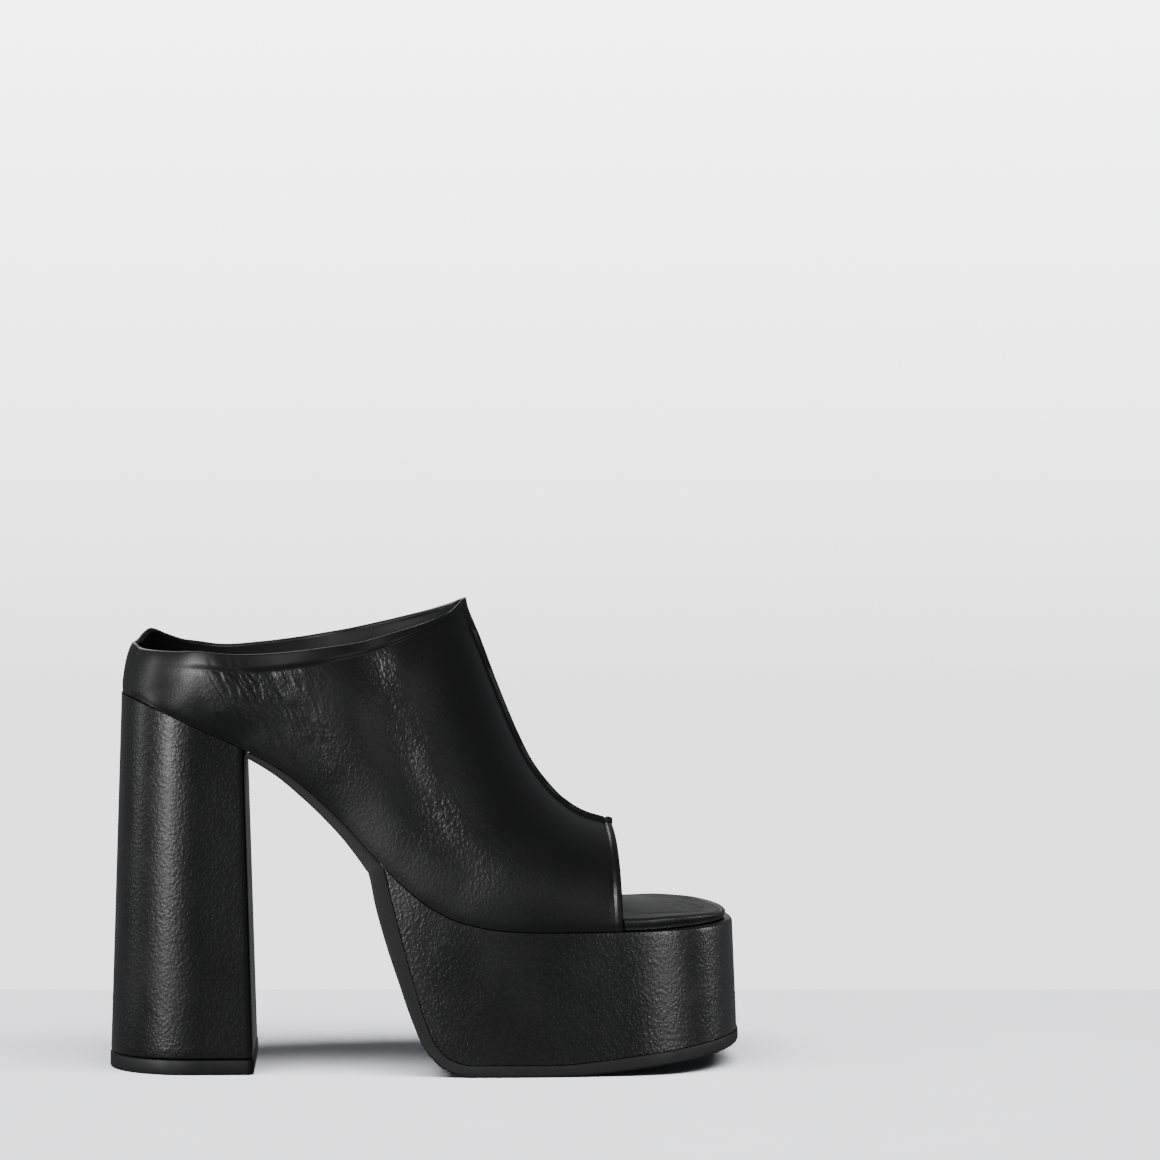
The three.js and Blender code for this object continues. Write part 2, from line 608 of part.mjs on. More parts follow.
const upperLeather = new THREE.MeshStandardMaterial({ color: 0x17171a, roughness: 0.42, metalness: 0 });
const coverLeather = new THREE.MeshStandardMaterial({ color: 0x16161a, roughness: 0.38, metalness: 0 });
const liningLeather = new THREE.MeshStandardMaterial({ color: 0x1b1b1e, roughness: 0.5, metalness: 0 });
const rubber = new THREE.MeshStandardMaterial({ color: 0x141416, roughness: 0.6, metalness: 0 });

const shoe = new THREE.Group();
shoe.add(
  makeUpper(upperLeather),
  makeInsole(liningLeather),
  makePlatform(coverLeather),
  makeOutsole(rubber),
  makeHeel(coverLeather),
  makeTopLift(rubber),
);

// The origin is the middle of the shoe's box, on the floor
const box = new THREE.Box3().setFromObject(shoe);
const middle = box.getCenter(new THREE.Vector3());
shoe.position.set(-middle.x, -middle.y, -box.min.z);

export default shoe;
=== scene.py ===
"""Platform mule for the right foot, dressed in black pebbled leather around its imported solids.

Sizes are in millimetres and turn into metres where a mesh is made. Along is a share of the shoe's
length from the heel's lowest back edge. The outer side of the foot lies towards -Y, the toe towards +X.
"""

import logging
import math
from dataclasses import dataclass, field
from enum import Enum

import bpy
import numpy as np
from mathutils import Matrix, Vector


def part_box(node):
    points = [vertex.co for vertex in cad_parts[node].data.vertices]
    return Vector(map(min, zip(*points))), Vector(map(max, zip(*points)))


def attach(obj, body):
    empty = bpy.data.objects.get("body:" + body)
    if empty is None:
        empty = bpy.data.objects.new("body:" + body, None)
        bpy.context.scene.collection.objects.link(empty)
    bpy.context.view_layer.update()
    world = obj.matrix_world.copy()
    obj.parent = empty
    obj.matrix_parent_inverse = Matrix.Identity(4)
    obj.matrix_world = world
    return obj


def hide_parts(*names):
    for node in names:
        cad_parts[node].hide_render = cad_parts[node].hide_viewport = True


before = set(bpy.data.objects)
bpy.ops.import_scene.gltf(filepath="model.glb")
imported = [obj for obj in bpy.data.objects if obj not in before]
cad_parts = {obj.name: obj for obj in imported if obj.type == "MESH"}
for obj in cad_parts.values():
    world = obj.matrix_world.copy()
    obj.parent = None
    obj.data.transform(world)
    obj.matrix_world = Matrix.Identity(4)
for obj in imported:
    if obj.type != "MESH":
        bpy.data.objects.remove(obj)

LOG = logging.getLogger("platform_mule")
MM = 0.001
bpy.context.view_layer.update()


class Side(Enum):
    """Side of the foot, as the sign of y."""

    OUTER = -1
    INNER = 1


class Table:
    """Short table of rows along the shoe, read as smooth curves that never overshoot a row."""

    def __init__(self, along: tuple[float, ...], **columns: tuple[float, ...]) -> None:
        """Keeps the rows.

        Args:
            along: Share of the length of each row.
            columns: Values of each row, by column name.
        """
        self.along = np.array(along, float)
        self.columns = {name: np.array(values, float) for name, values in columns.items()}

    def at(self, column: str, along: np.ndarray) -> np.ndarray:
        """Cubic through the rows, whose slope at a row is the harmonic mean of its neighbours' slopes.

        Args:
            column: Name of the column.
            along: Shares of the length to read it at.

        Returns:
            The column's value at each share.
        """
        places, values = self.along, self.columns[column]
        width = np.diff(places)
        slope = np.diff(values) / width
        tangent = np.zeros_like(values)
        tangent[0], tangent[-1] = slope[0], slope[-1]
        before, after = slope[:-1], slope[1:]
        heavy, light = 2 * width[1:] + width[:-1], width[1:] + 2 * width[:-1]
        same = before * after > 0
        safe_before, safe_after = np.where(same, before, 1), np.where(same, after, 1)
        mean = (heavy + light) / (heavy / safe_before + light / safe_after)
        tangent[1:-1] = np.where(same, mean, 0)
        place = np.clip(along, places[0], places[-1])
        row = np.clip(np.searchsorted(places, place, side="right") - 1, 0, len(width) - 1)
        t = (place - places[row]) / width[row]
        start = (1 + 2 * t) * (1 - t) ** 2 * values[row]
        end = t * t * (3 - 2 * t) * values[row + 1]
        bend = t * (1 - t) ** 2 * width[row] * tangent[row]
        return start + end + bend + t * t * (t - 1) * width[row] * tangent[row + 1]


def smooth(value: np.ndarray, low: float, high: float) -> np.ndarray:
    """Step from 0 at low to 1 at high, level at both ends."""
    t = np.clip((np.asarray(value, float) - low) / (high - low), 0, 1)
    return t * t * (3 - 2 * t)


def blend(start: np.ndarray, end: np.ndarray, share: np.ndarray) -> np.ndarray:
    """Straight mix from start to end."""
    return start + (end - start) * share


def round_end(distance: np.ndarray, reach: float, power: float) -> np.ndarray:
    """Share of full width at a distance from a round end, as a superellipse of that power."""
    left = 1 - np.clip(distance / reach, 0, 1)
    return (1 - left**power) ** (1 / power)


def bump_at(distance: np.ndarray, width: float) -> np.ndarray:
    """Soft bell of height 1 and that half width."""
    return np.exp(-((distance / width) ** 2))


@dataclass
class Last:
    """The foot's form: its outline in plan, its edges from the side and its sections."""

    length: float = 232.5
    ball_width: float = 89.4
    heel_width: float = 60.0
    heel_height: float = 137.5
    platform_height: float = 52.0
    instep_height: float = 171.7
    back_wall: float = 16.1
    inner_rise: float = 6.5
    vamp_height: float = 36.1
    seat_set_in: float = 3.9
    toe_set_in: float = 2.6
    heel_round: float = 29.0
    collar_round: float = 25.0
    outer_toe_round: float = 45.0
    inner_toe_round: float = 31.0
    tip_offset: float = 3.0
    toe_power: float = 2.4
    heel_power: float = 2.1
    outsole_thickness: float = 4.2
    toe_spring: float = 8.0
    gap: float = 0.3
    wedge_tip: float = 0.424
    peak: float = 0.56
    opening: float = 0.795
    feather: Table = field(default_factory=lambda: Table(
        (0.0168, 0.079, 0.142, 0.204, 0.2695, 0.3175, 0.369, 0.412, 0.46, 0.504, 0.549, 0.62, 0.694,
         0.81, 0.894, 0.99),
        rise=(1, 0.93, 0.852, 0.775, 0.68, 0.579, 0.448, 0.322, 0.192, 0.1, 0.043, 0.007, 0,
              0.002, 0.01, 0.018)))
    outline: Table = field(default_factory=lambda: Table(
        (0.01, 0.134, 0.216, 0.285, 0.354, 0.435, 0.5, 0.586, 0.672, 0.745, 0.81, 0.99),
        outer=(-0.03, -0.03, 0.03, 0.09, 0.22, 0.54, 0.77, 0.95, 1, 0.99, 0.95, 0.85),
        inner=(-0.09, -0.09, -0.1, -0.18, -0.22, -0.1, 0.12, 0.52, 0.84, 0.98, 1, 0.93)))
    collar: Table = field(default_factory=lambda: Table(
        (0.033, 0.044, 0.055, 0.083, 0.115, 0.166, 0.231, 0.295, 0.371, 0.463, 0.535, 0.56),
        rise=(0, 0, -0.01, -0.02, -0.03, -0.03, 0.03, 0.13, 0.3, 0.58, 0.86, 1),
        outer_lift=(0.25, 0.03, 0, -0.1, -0.22, -0.36, -0.5, -0.6, -0.66, -0.62, -0.45, 0),
        inner_lift=(0.25, 0.75, 1, 0.64, 0.22, 0, 0, 0, 0, 0, 0, 0)))
    collar_plan: Table = field(default_factory=lambda: Table(
        (0.033, 0.14, 0.216, 0.302, 0.375, 0.453, 0.513, 0.545, 0.56),
        half=(0.84, 0.88, 0.93, 0.93, 0.87, 0.71, 0.47, 0.25, 0)))
    ridge: Table = field(default_factory=lambda: Table(
        (0.56, 0.563, 0.5795, 0.604, 0.624, 0.64, 0.66, 0.681, 0.713, 0.749, 0.792),
        rise=(1, 0.955, 0.82, 0.637, 0.495, 0.39, 0.28, 0.194, 0.099, 0.035, 0)))
    fan: Table = field(default_factory=lambda: Table(
        (0.016774, 0.113, 0.165, 0.216, 0.251, 0.281, 0.311, 0.334, 0.354, 0.414, 0.478, 0.552,
         0.629, 0.715, 0.795),
        crest=(0.033, 0.119, 0.173, 0.238, 0.302, 0.375, 0.453, 0.513, 0.56, 0.5925, 0.627,
               0.6655, 0.704, 0.7465, 0.792),
        hip=(0.3, 0.3, 0.3, 0.32, 0.34, 0.36, 0.38, 0.4, 0.42, 0.44, 0.47, 0.5, 0.55, 0.6, 0.62),
        belly=(0.8, 1.2, 1.4, 1.8, 2.2, 2.6, 3, 3, 3, 2.4, 1.8, 1.2, 0.8, 0.6, 0.4),
        sag=(0.24, 0.3, 0.32, 0.34, 0.34, 0.32, 0.26, 0.16, 0.07, 0.05, 0.05, 0.05, 0.05, 0.05,
             0.05),
        shoulder=(0.6, 0.9, 1, 1, 1, 1, 0.95, 0.85, 0.7, 0.64, 0.62, 0.62, 0.62, 0.62, 0.62),
        swell=(1.6, 1.2, 1, 1, 0.8, 0.6, 0.4, 0.2, 0, 0, 0, 0, 0, 0, 0)))
    sole: Table = field(default_factory=lambda: Table(
        (0.22, 0.259, 0.294, 0.337, 0.38, 0.409, 0.424, 0.4415, 0.4575, 0.473, 0.489, 0.508,
         0.533, 0.5645, 0.698, 0.767, 0.844, 0.9215, 0.97, 1),
        back=(1, 1, 1, 1, 1, 1, 1, 0.804, 0.603, 0.418, 0.245, 0.103, 0.026, 0, 0, 0, 0, 0, 0, 0),
        spring=(0, 0, 0, 0, 0, 0, 0, 0, 0, 0, 0, 0, 0, 0, 0, 0.17, 0.45, 0.73, 0.91, 1),
        thickness=(0.5, 0.62, 0.74, 0.84, 0.96, 1.16, 1.36, 1.45, 1.34, 1.15, 1.02, 0.94, 0.96, 1, 1,
                   1.06, 1.14, 1.16, 1.1, 0.95),
        lean=(24, 30, 37, 44, 49, 56, 63, 70, 74, 75, 71, 56, 28, 0, 0, 0, 0, 0, 0, 0)))
    platform: Table = field(default_factory=lambda: Table(
        (0.424, 0.457, 0.493, 0.53, 0.567, 0.62, 0.7, 0.8, 1),
        foot=(0.424, 0.4395, 0.4615, 0.4855, 0.512, 0.577, 0.69, 0.8, 1)))

    @property
    def back(self) -> float:
        """Place of the upper's back edge."""
        return self.seat_set_in

    @property
    def tip(self) -> float:
        """Place of the platform's top edge at the toe."""
        return self.length - self.toe_set_in

    def feather_height(self, x: np.ndarray) -> np.ndarray:
        """Height of the upper's lower edge."""
        rise = self.feather.at("rise", x / self.length)
        return blend(self.platform_height, self.heel_height, rise)

    def outline_y(self, side: np.ndarray, x: np.ndarray) -> np.ndarray:
        """Signed y of the foot's outline: a width curve, rounded off at the heel and at the toe tip.

        Args:
            side: -1 on the outer side and 1 on the inner.
            x: Places from the back.

        Returns:
            The outline's y at each place.
        """
        along = x / self.length
        share = np.where(side < 0, self.outline.at("outer", along), self.outline.at("inner", along))
        half = blend(self.heel_width / 2, self.ball_width / 2, share)
        reach = np.where(side < 0, self.outer_toe_round, self.inner_toe_round)
        toe = round_end(self.tip - x, reach, self.toe_power)
        heel = round_end(x - self.back, self.heel_round, self.heel_power)
        return blend(self.tip_offset, side * half, toe) * heel

    def x_at_turn(self, turn: np.ndarray) -> np.ndarray:
        """Place at a turn, which runs evenly from 0 at the heel to 1 at the tip as on a circle."""
        return self.back + (self.tip - self.back) * (1 - np.cos(math.pi * turn)) / 2

    def turn_at_x(self, x: np.ndarray) -> np.ndarray:
        """Turn at a place."""
        share = np.clip(2 * (np.asarray(x, float) - self.back) / (self.tip - self.back), 0, 2)
        return np.arccos(1 - share) / math.pi

    def plan_point(
        self, side: np.ndarray, turn: np.ndarray, offset: np.ndarray
    ) -> tuple[np.ndarray, np.ndarray, np.ndarray, np.ndarray]:
        """Outline's point moved outwards, with the outward direction from the outline's slope.

        Args:
            side: -1 on the outer side and 1 on the inner.
            turn: Turns along the outline.
            offset: Millimetres outwards.

        Returns:
            x, y and the outward direction's x and y.
        """
        side, turn = np.broadcast_arrays(np.asarray(side, float), np.asarray(turn, float))

        def at(t: np.ndarray) -> tuple[np.ndarray, np.ndarray]:
            inside = np.where(t < 0, -t, np.where(t > 1, 2 - t, t))
            own = (t >= 0) & (t <= 1)
            x = self.x_at_turn(inside)
            return x, self.outline_y(np.where(own, side, -side), x)

        step = 0.002
        ahead, behind, here = at(turn + step), at(turn - step), at(turn)
        dx, dy = ahead[0] - behind[0], ahead[1] - behind[1]
        size = np.hypot(dx, dy)
        out_x, out_y = -dy / size * side, dx / size * side
        return here[0] + out_x * offset, here[1] + out_y * offset, out_x, out_y

    def collar_height(self, side: np.ndarray, x: np.ndarray) -> np.ndarray:
        """Height of the collar on a side."""
        along = x / self.length
        lift = np.where(
            side < 0, self.collar.at("outer_lift", along), self.collar.at("inner_lift", along)
        )
        low = self.heel_height + self.back_wall
        return blend(low, self.instep_height, self.collar.at("rise", along)) + lift * self.inner_rise

    def ridge_height(self, x: np.ndarray) -> np.ndarray:
        """Height of the vamp's ridge."""
        rise = self.ridge.at("rise", x / self.length)
        return blend(self.platform_height + self.vamp_height, self.instep_height, rise)

    def outsole_top(self, x: np.ndarray) -> np.ndarray:
        """Upper face of the outsole: the waist's lower edge, then the platform's back and foot."""
        along = x / self.length
        waist = self.feather_height(x) - self.gap
        wedge = self.feather_height(np.array(self.wedge_tip * self.length)) - self.gap
        foot = blend(self.outsole_thickness, wedge, self.sole.at("back", along))
        foot = foot + self.toe_spring * self.sole.at("spring", along)
        return np.where(along <= self.wedge_tip, waist, foot)

    def place(self, points: np.ndarray) -> np.ndarray:
        """Moves points from the shoe's own measure into the row's frame, in metres.

        Args:
            points: Points in millimetres, x from the heel's lowest back edge, in an array of any shape.

        Returns:
            Points in metres in the row's frame, in the same shape.
        """
        low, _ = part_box("heel_top_lift")
        sole_low, sole_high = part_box("outsole")
        middle = (sole_low[1] + sole_high[1]) / 2
        shift = np.array([low[0] + TopLift.lip * MM, middle, 0.0])
        return points * MM + shift


def make_piece(
    name: str,
    points: np.ndarray,
    faces: list,
    sharp: float = 40.0,
    traits: dict[str, np.ndarray] | None = None,
) -> bpy.types.Object:
    """Makes a smooth-shaded mesh object from arrays.

    Args:
        name: Name of the object.
        points: Vertices in metres.
        faces: Arrays of faces, one row of vertex numbers a face.
        sharp: Edges with a larger angle than this, in degrees, are shaded sharp.
        traits: Values of each vertex for the materials, by attribute name.

    Returns:
        The object, linked to the scene.
    """
    used = np.unique(np.concatenate([np.ravel(group) for group in faces]))
    renumbered = np.zeros(len(points), int)
    renumbered[used] = np.arange(len(used))
    corners = [face for group in faces for face in renumbered[np.asarray(group)].tolist()]
    mesh = bpy.data.meshes.new(name)
    mesh.from_pydata(points[used].tolist(), [], corners)
    mesh.validate()
    mesh.shade_smooth()
    mesh.set_sharp_from_angle(angle=math.radians(sharp))
    for key, values in (traits or {}).items():
        layer = mesh.attributes.new(key, "FLOAT", "POINT")
        layer.data.foreach_set("value", values[used].astype(np.float32))
    piece = bpy.data.objects.new(name, mesh)
    bpy.context.scene.collection.objects.link(piece)
    return piece


def grid_faces(numbers: np.ndarray, closed: bool = False) -> np.ndarray:
    """Quads between the rows and columns of a grid of vertex numbers.

    Args:
        numbers: Vertex number of each row and column.
        closed: Whether the last column meets the first.

    Returns:
        One row of four vertex numbers a quad.
    """
    after = np.roll(numbers, -1, axis=1) if closed else numbers[:, 1:]
    here = numbers if closed else numbers[:, :-1]
    quads = np.stack([here[:-1], after[:-1], after[1:], here[1:]], axis=-1)
    return quads.reshape(-1, 4)


def loft(name: str, rings: np.ndarray, sharp: float) -> bpy.types.Object:
    """Closed solid through rings, whose ends are closed in strips between a point and its partner.

    Args:
        name: Name of the object.
        rings: Points of each ring, in metres, both sides of a section one after the other.
        sharp: Angle from which edges are shaded sharp.

    Returns:
        The object, whose leather has its full grain all over.
    """
    count, size = rings.shape[:2]
    numbers = np.arange(count * size).reshape(count, size)
    sides = grid_faces(numbers, closed=True)
    i = np.arange(size // 2 - 1)
    j = size - 1 - i
    first, last = numbers[0], numbers[-1]
    start = np.stack([first[i], first[j], first[j - 1], first[i + 1]], axis=-1)
    end = np.stack([last[i], last[i + 1], last[j - 1], last[j]], axis=-1)
    traits = {"grain": np.ones(count * size)}
    return make_piece(name, rings.reshape(-1, 3), [sides, start, end], sharp, traits)


def ring_of(there: np.ndarray, back: np.ndarray) -> np.ndarray:
    """Rings from two sides' curves: the first side's points, then the second side's in reverse."""
    return np.concatenate([there, back[:, ::-1]], axis=1)


def quarter(steps: int) -> tuple[np.ndarray, np.ndarray]:
    """Rounded corner as shares of its radius.

    Args:
        steps: Number of points.

    Returns:
        Shares inwards and upwards, from the wall to the top.
    """
    angle = np.linspace(0, math.pi / 2, steps)
    return 1 - np.cos(angle), np.sin(angle)


@dataclass(frozen=True)
class Tree:
    """Nodes and links of one material or node group."""

    nodes: bpy.types.Nodes
    links: bpy.types.NodeLinks

    def join(self, node: bpy.types.Node, inputs: dict[str | int, object]) -> None:
        """Sets a node's inputs.

        Args:
            node: The node.
            inputs: Each input's value, or the socket that feeds it, by name or number.
        """
        for key, value in inputs.items():
            if isinstance(value, bpy.types.NodeSocket):
                self.links.new(value, node.inputs[key])
            else:
                node.inputs[key].default_value = value

    def add(self, kind: str, inputs: dict[str | int, object], **settings: object) -> bpy.types.Node:
        """Adds a shader node.

        Args:
            kind: Type of the node, without ShaderNode before it.
            inputs: Its inputs, as join takes them.
            settings: Values of the node's own properties.

        Returns:
            The node.
        """
        node = self.nodes.new("ShaderNode" + kind)
        for name, value in settings.items():
            setattr(node, name, value)
        self.join(node, inputs)
        return node

    def place(self) -> bpy.types.NodeSocket:
        """Object's own coordinates."""
        return self.add("TexCoord", {}).outputs["Object"]

    def attribute(self, name: str) -> bpy.types.NodeSocket:
        """Trait of the piece's vertices."""
        return self.add("Attribute", {}, attribute_name=name).outputs["Fac"]

    def math(self, operation: str, *inputs: object) -> bpy.types.NodeSocket:
        """Result of a Math node on numbers or sockets."""
        return self.add("Math", dict(enumerate(inputs)), operation=operation).outputs["Value"]

    def noise(self, vector: bpy.types.NodeSocket, scale: float, detail: float) -> bpy.types.Node:
        """Noise texture on given coordinates."""
        return self.add("TexNoise", {"Vector": vector, "Scale": scale, "Detail": detail})

    def ramp(self, value: bpy.types.NodeSocket, low: tuple, high: tuple) -> bpy.types.NodeSocket:
        """Colour between two stops, each a place and a colour."""
        node = self.add("ValToRGB", {"Fac": value})
        for element, (place, color) in zip(node.color_ramp.elements, (low, high)):
            element.position = place
            element.color = (*color, 1)
        return node.outputs["Color"]

    def spread(
        self,
        value: bpy.types.NodeSocket,
        limits: tuple[float, float],
        target: tuple[float, float] = (0.0, 1.0),
        interpolation: str = "LINEAR",
    ) -> bpy.types.NodeSocket:
        """Value moved from one pair of limits to another."""
        names = ("From Min", "From Max", "To Min", "To Max")
        inputs = {"Value": value, **dict(zip(names, (*limits, *target)))}
        node = self.add("MapRange", inputs, interpolation_type=interpolation)
        return node.outputs["Result"]

    def warp(self, vector: bpy.types.NodeSocket, scale: float, reach: float) -> bpy.types.NodeSocket:
        """Coordinates shifted by noise.

        Args:
            vector: Coordinates.
            scale: Scale of the noise.
            reach: Millimetres of shift for the noise's full range.

        Returns:
            The shifted coordinates' socket.
        """
        texture = self.noise(vector, scale, 2.0).outputs["Color"]
        shift = self.add("VectorMath", {0: texture, "Scale": reach * MM}, operation="SCALE")
        both = {0: vector, 1: shift.outputs["Vector"]}
        return self.add("VectorMath", both, operation="ADD").outputs["Vector"]


def new_material(name: str) -> tuple[bpy.types.Material, Tree, bpy.types.Node]:
    """Starts a node material.

    Args:
        name: Name of the material.

    Returns:
        The material, its tree and its Principled shader.
    """
    material = bpy.data.materials.new(name)
    material.use_nodes = True
    nodes = material.node_tree.nodes
    return material, Tree(nodes, material.node_tree.links), nodes["Principled BSDF"]


def darker(color: tuple[float, float, float], share: float) -> tuple[float, float, float]:
    """Colour at a share of its brightness."""
    return tuple(channel * share for channel in color)


def grain_group() -> bpy.types.NodeTree:
    """Leather grain shared by all leathers: warped pebbles, fine pores and soft drawn wrinkles.

    The pieces' grain attribute scales the pebbles, and their crease attribute the wrinkles.

    Returns:
        The node group, with Cell and Stretch inputs, and Height and Wear outputs.
    """
    name = "Leather grain"
    if name in bpy.data.node_groups:
        return bpy.data.node_groups[name]
    group = bpy.data.node_groups.new(name, "ShaderNodeTree")
    for socket, way, kind in (
        ("Cell", "INPUT", "NodeSocketFloat"),
        ("Stretch", "INPUT", "NodeSocketVector"),
        ("Height", "OUTPUT", "NodeSocketFloat"),
        ("Wear", "OUTPUT", "NodeSocketFloat"),
    ):
        group.interface.new_socket(socket, in_out=way, socket_type=kind)
    tree = Tree(group.nodes, group.links)
    source = group.nodes.new("NodeGroupInput").outputs
    place = tree.place()
    stretched = tree.add("VectorMath", {0: place, 1: source["Stretch"]}, operation="MULTIPLY")
    warped = tree.warp(stretched.outputs["Vector"], 420.0, 1.3)
    wide = {"Vector": warped, "Scale": source["Cell"], "Smoothness": 0.3}
    cells = tree.add("TexVoronoi", wide, feature="SMOOTH_F1").outputs["Distance"]
    fine = {"Vector": warped, "Scale": tree.math("MULTIPLY", source["Cell"], 2.3)}
    pores = tree.add("TexVoronoi", fine, feature="F1").outputs["Distance"]
    depth = tree.math("MULTIPLY_ADD", pores, 0.3, cells)
    pebble = tree.spread(depth, (0.15, 0.95), (1.0, 0.0), "SMOOTHSTEP")
    pebbles = tree.math("MULTIPLY", pebble, tree.attribute("grain"))
    drawn = tree.math("MULTIPLY", wrinkles(tree, place), tree.attribute("crease"))
    height = tree.math("MULTIPLY_ADD", drawn, 3.6, pebbles)
    wear = tree.spread(tree.noise(place, 38.0, 4.0).outputs["Fac"], (0.35, 0.65))
    tree.join(group.nodes.new("NodeGroupOutput"), {"Height": height, "Wear": wear})
    return group


def wrinkles(tree: Tree, place: bpy.types.NodeSocket) -> bpy.types.NodeSocket:
    """Fine wavy lines that run down towards the toe, as a height from 0 to 1.

    Args:
        tree: Tree that they are added to.
        place: Object coordinates.

    Returns:
        The socket that gives the height.
    """
    turn, size = (0, math.radians(62), 0), (5.5, 1.7, 1)
    mapping = {"Vector": tree.warp(place, 110.0, 3.2), "Rotation": turn, "Scale": size}
    turned = tree.add("Mapping", mapping, vector_type="TEXTURE")
    lines = tree.noise(turned.outputs["Vector"], 520.0, 1.5).outputs["Fac"]
    return tree.spread(lines, (0.35, 0.62), interpolation="SMOOTHSTEP")


@dataclass(frozen=True)
class Leather:
    """Pebbled leather under a thin coat, its colour darkened in the furrows between pebbles as painted
    shade.
    """

    name: str
    slot: str
    color: tuple[float, float, float]
    roughness: float
    cell: float  # size of a pebble in millimetres
    height: float  # height of the grain in millimetres
    coat: float
    stretch: float = 1.0  # how much taller than wide a pebble is
    furrow_shade: float = 0.6  # share of the colour left in the furrows, as painted shade

    def material(self) -> bpy.types.Material:
        """Builds the material.

        Returns:
            The material, with the grain as bump, painted shade in its furrows, and roughness from the
            wear noise.
        """
        material, tree, shader = new_material(self.name)
        sizes = {"Cell": 1 / (self.cell * MM), "Stretch": (1, 1, 1 / self.stretch)}
        grain = tree.add("Group", sizes, node_tree=grain_group()).outputs
        bump = tree.add("Bump", {"Distance": self.height * MM, "Height": grain["Height"]})
        # Painted shade: the colour darkens where the grain lies low, in the furrows and between the
        # drawn wrinkles, and the surface is darker overall where the grain is weak.
        tint = tree.ramp(grain["Height"], (0.1, darker(self.color, self.furrow_shade)), (0.6, self.color))
        limits = (self.roughness + 0.07, self.roughness - 0.04)
        tree.join(shader, {
            "Normal": bump.outputs["Normal"],
            "Base Color": tint,
            "Roughness": tree.spread(grain["Wear"], (0, 1), limits),
            "Coat Weight": self.coat,
            "Coat Roughness": 0.25,
        })
        return material


@dataclass(frozen=True)
class Rubber:
    """Moulded rubber: matt, with a fine dusty mottle."""

    name: str
    slot: str
    color: tuple[float, float, float]
    roughness: float

    def material(self) -> bpy.types.Material:
        """Builds the material.

        Returns:
            The material, with fine noise in bump, colour and roughness.
        """
        material, tree, shader = new_material(self.name)
        fine = tree.noise(tree.place(), 1400.0, 3.0).outputs["Fac"]
        broad = tree.noise(tree.place(), 90.0, 4.0).outputs["Fac"]
        bump = tree.add("Bump", {"Distance": 0.06 * MM, "Height": fine})
        limits = (self.roughness - 0.06, self.roughness + 0.08)
        tree.join(shader, {
            "Normal": bump.outputs["Normal"],
            "Base Color": tree.ramp(broad, (0.3, darker(self.color, 0.75)), (0.7, self.color)),
            "Roughness": tree.spread(broad, (0.3, 0.7), limits),
        })
        return material


@dataclass(frozen=True)
class Plain:
    """Matt studio paint for the floor."""

    name: str
    color: tuple[float, float, float]
    roughness: float = 0.7

    def material(self) -> bpy.types.Material:
        """Builds the material, with a faint mottle."""
        material, tree, shader = new_material(self.name)
        mottle = tree.noise(tree.place(), 14.0, 6.0).outputs["Fac"]
        tint = tree.ramp(mottle, (0.3, darker(self.color, 0.94)), (0.7, self.color))
        tree.join(shader, {"Base Color": tint, "Roughness": self.roughness})
        return material


@dataclass(frozen=True)
class Glow:
    """Studio paper that glows though it is no lamp: painted light, dim at its foot and bright at its
    top.
    """

    name: str
    foot: float
    top: float
    strength: float = 6.0

    def material(self) -> bpy.types.Material:
        """Builds the material, whose painted light follows the sheet's rise attribute."""
        material, tree, shader = new_material(self.name)
        rise = tree.attribute("rise")
        tree.join(shader, {
            "Emission Color": tree.ramp(rise, (0.0, (self.foot,) * 3), (1.0, (self.top,) * 3)),
            "Emission Strength": self.strength,
            "Base Color": (0, 0, 0, 1),
            "Specular IOR Level": 0.0,
        })
        return material


UPPER_LEATHER = Leather(
    "Upper leather", "upper_leather", (0.0050, 0.0050, 0.0056), 0.36, 1.1, 0.088, 0.12, 1.5
)
COVER_LEATHER = Leather(
    "Cover leather", "cover_leather", (0.0048, 0.0048, 0.0054), 0.33, 1.15, 0.056, 0.15, 1.2
)
LINING_LEATHER = Leather("Lining leather", "upper_leather", (0.012, 0.012, 0.0125), 0.5, 0.7, 0.03, 0.0)
INSOLE_LEATHER = Leather(
    "Insole leather", "insole_leather", (0.0075, 0.0075, 0.008), 0.44, 0.9, 0.05, 0.06
)
OUTSOLE_RUBBER = Rubber("Outsole rubber", "outsole_rubber", (0.0034, 0.0034, 0.0040), 0.6)
LIFT_RUBBER = Rubber("Top lift rubber", "lift_rubber", (0.0052, 0.0052, 0.0062), 0.56)


def dress(piece: bpy.types.Object, node: str, *finishes: Leather | Rubber) -> None:
    """Gives a piece its materials and its body, and hides the CAD node that it stands for.

    Args:
        piece: The piece.
        node: CAD node that it replaces.
        finishes: Finishes in the order of the mesh's material numbers, all of one slot.
    """
    for finish in finishes:
        piece.data.materials.append(finish.material())
    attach(piece, "root")
    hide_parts(node)
    LOG.info("%s: %d faces", piece.name, len(piece.data.polygons))


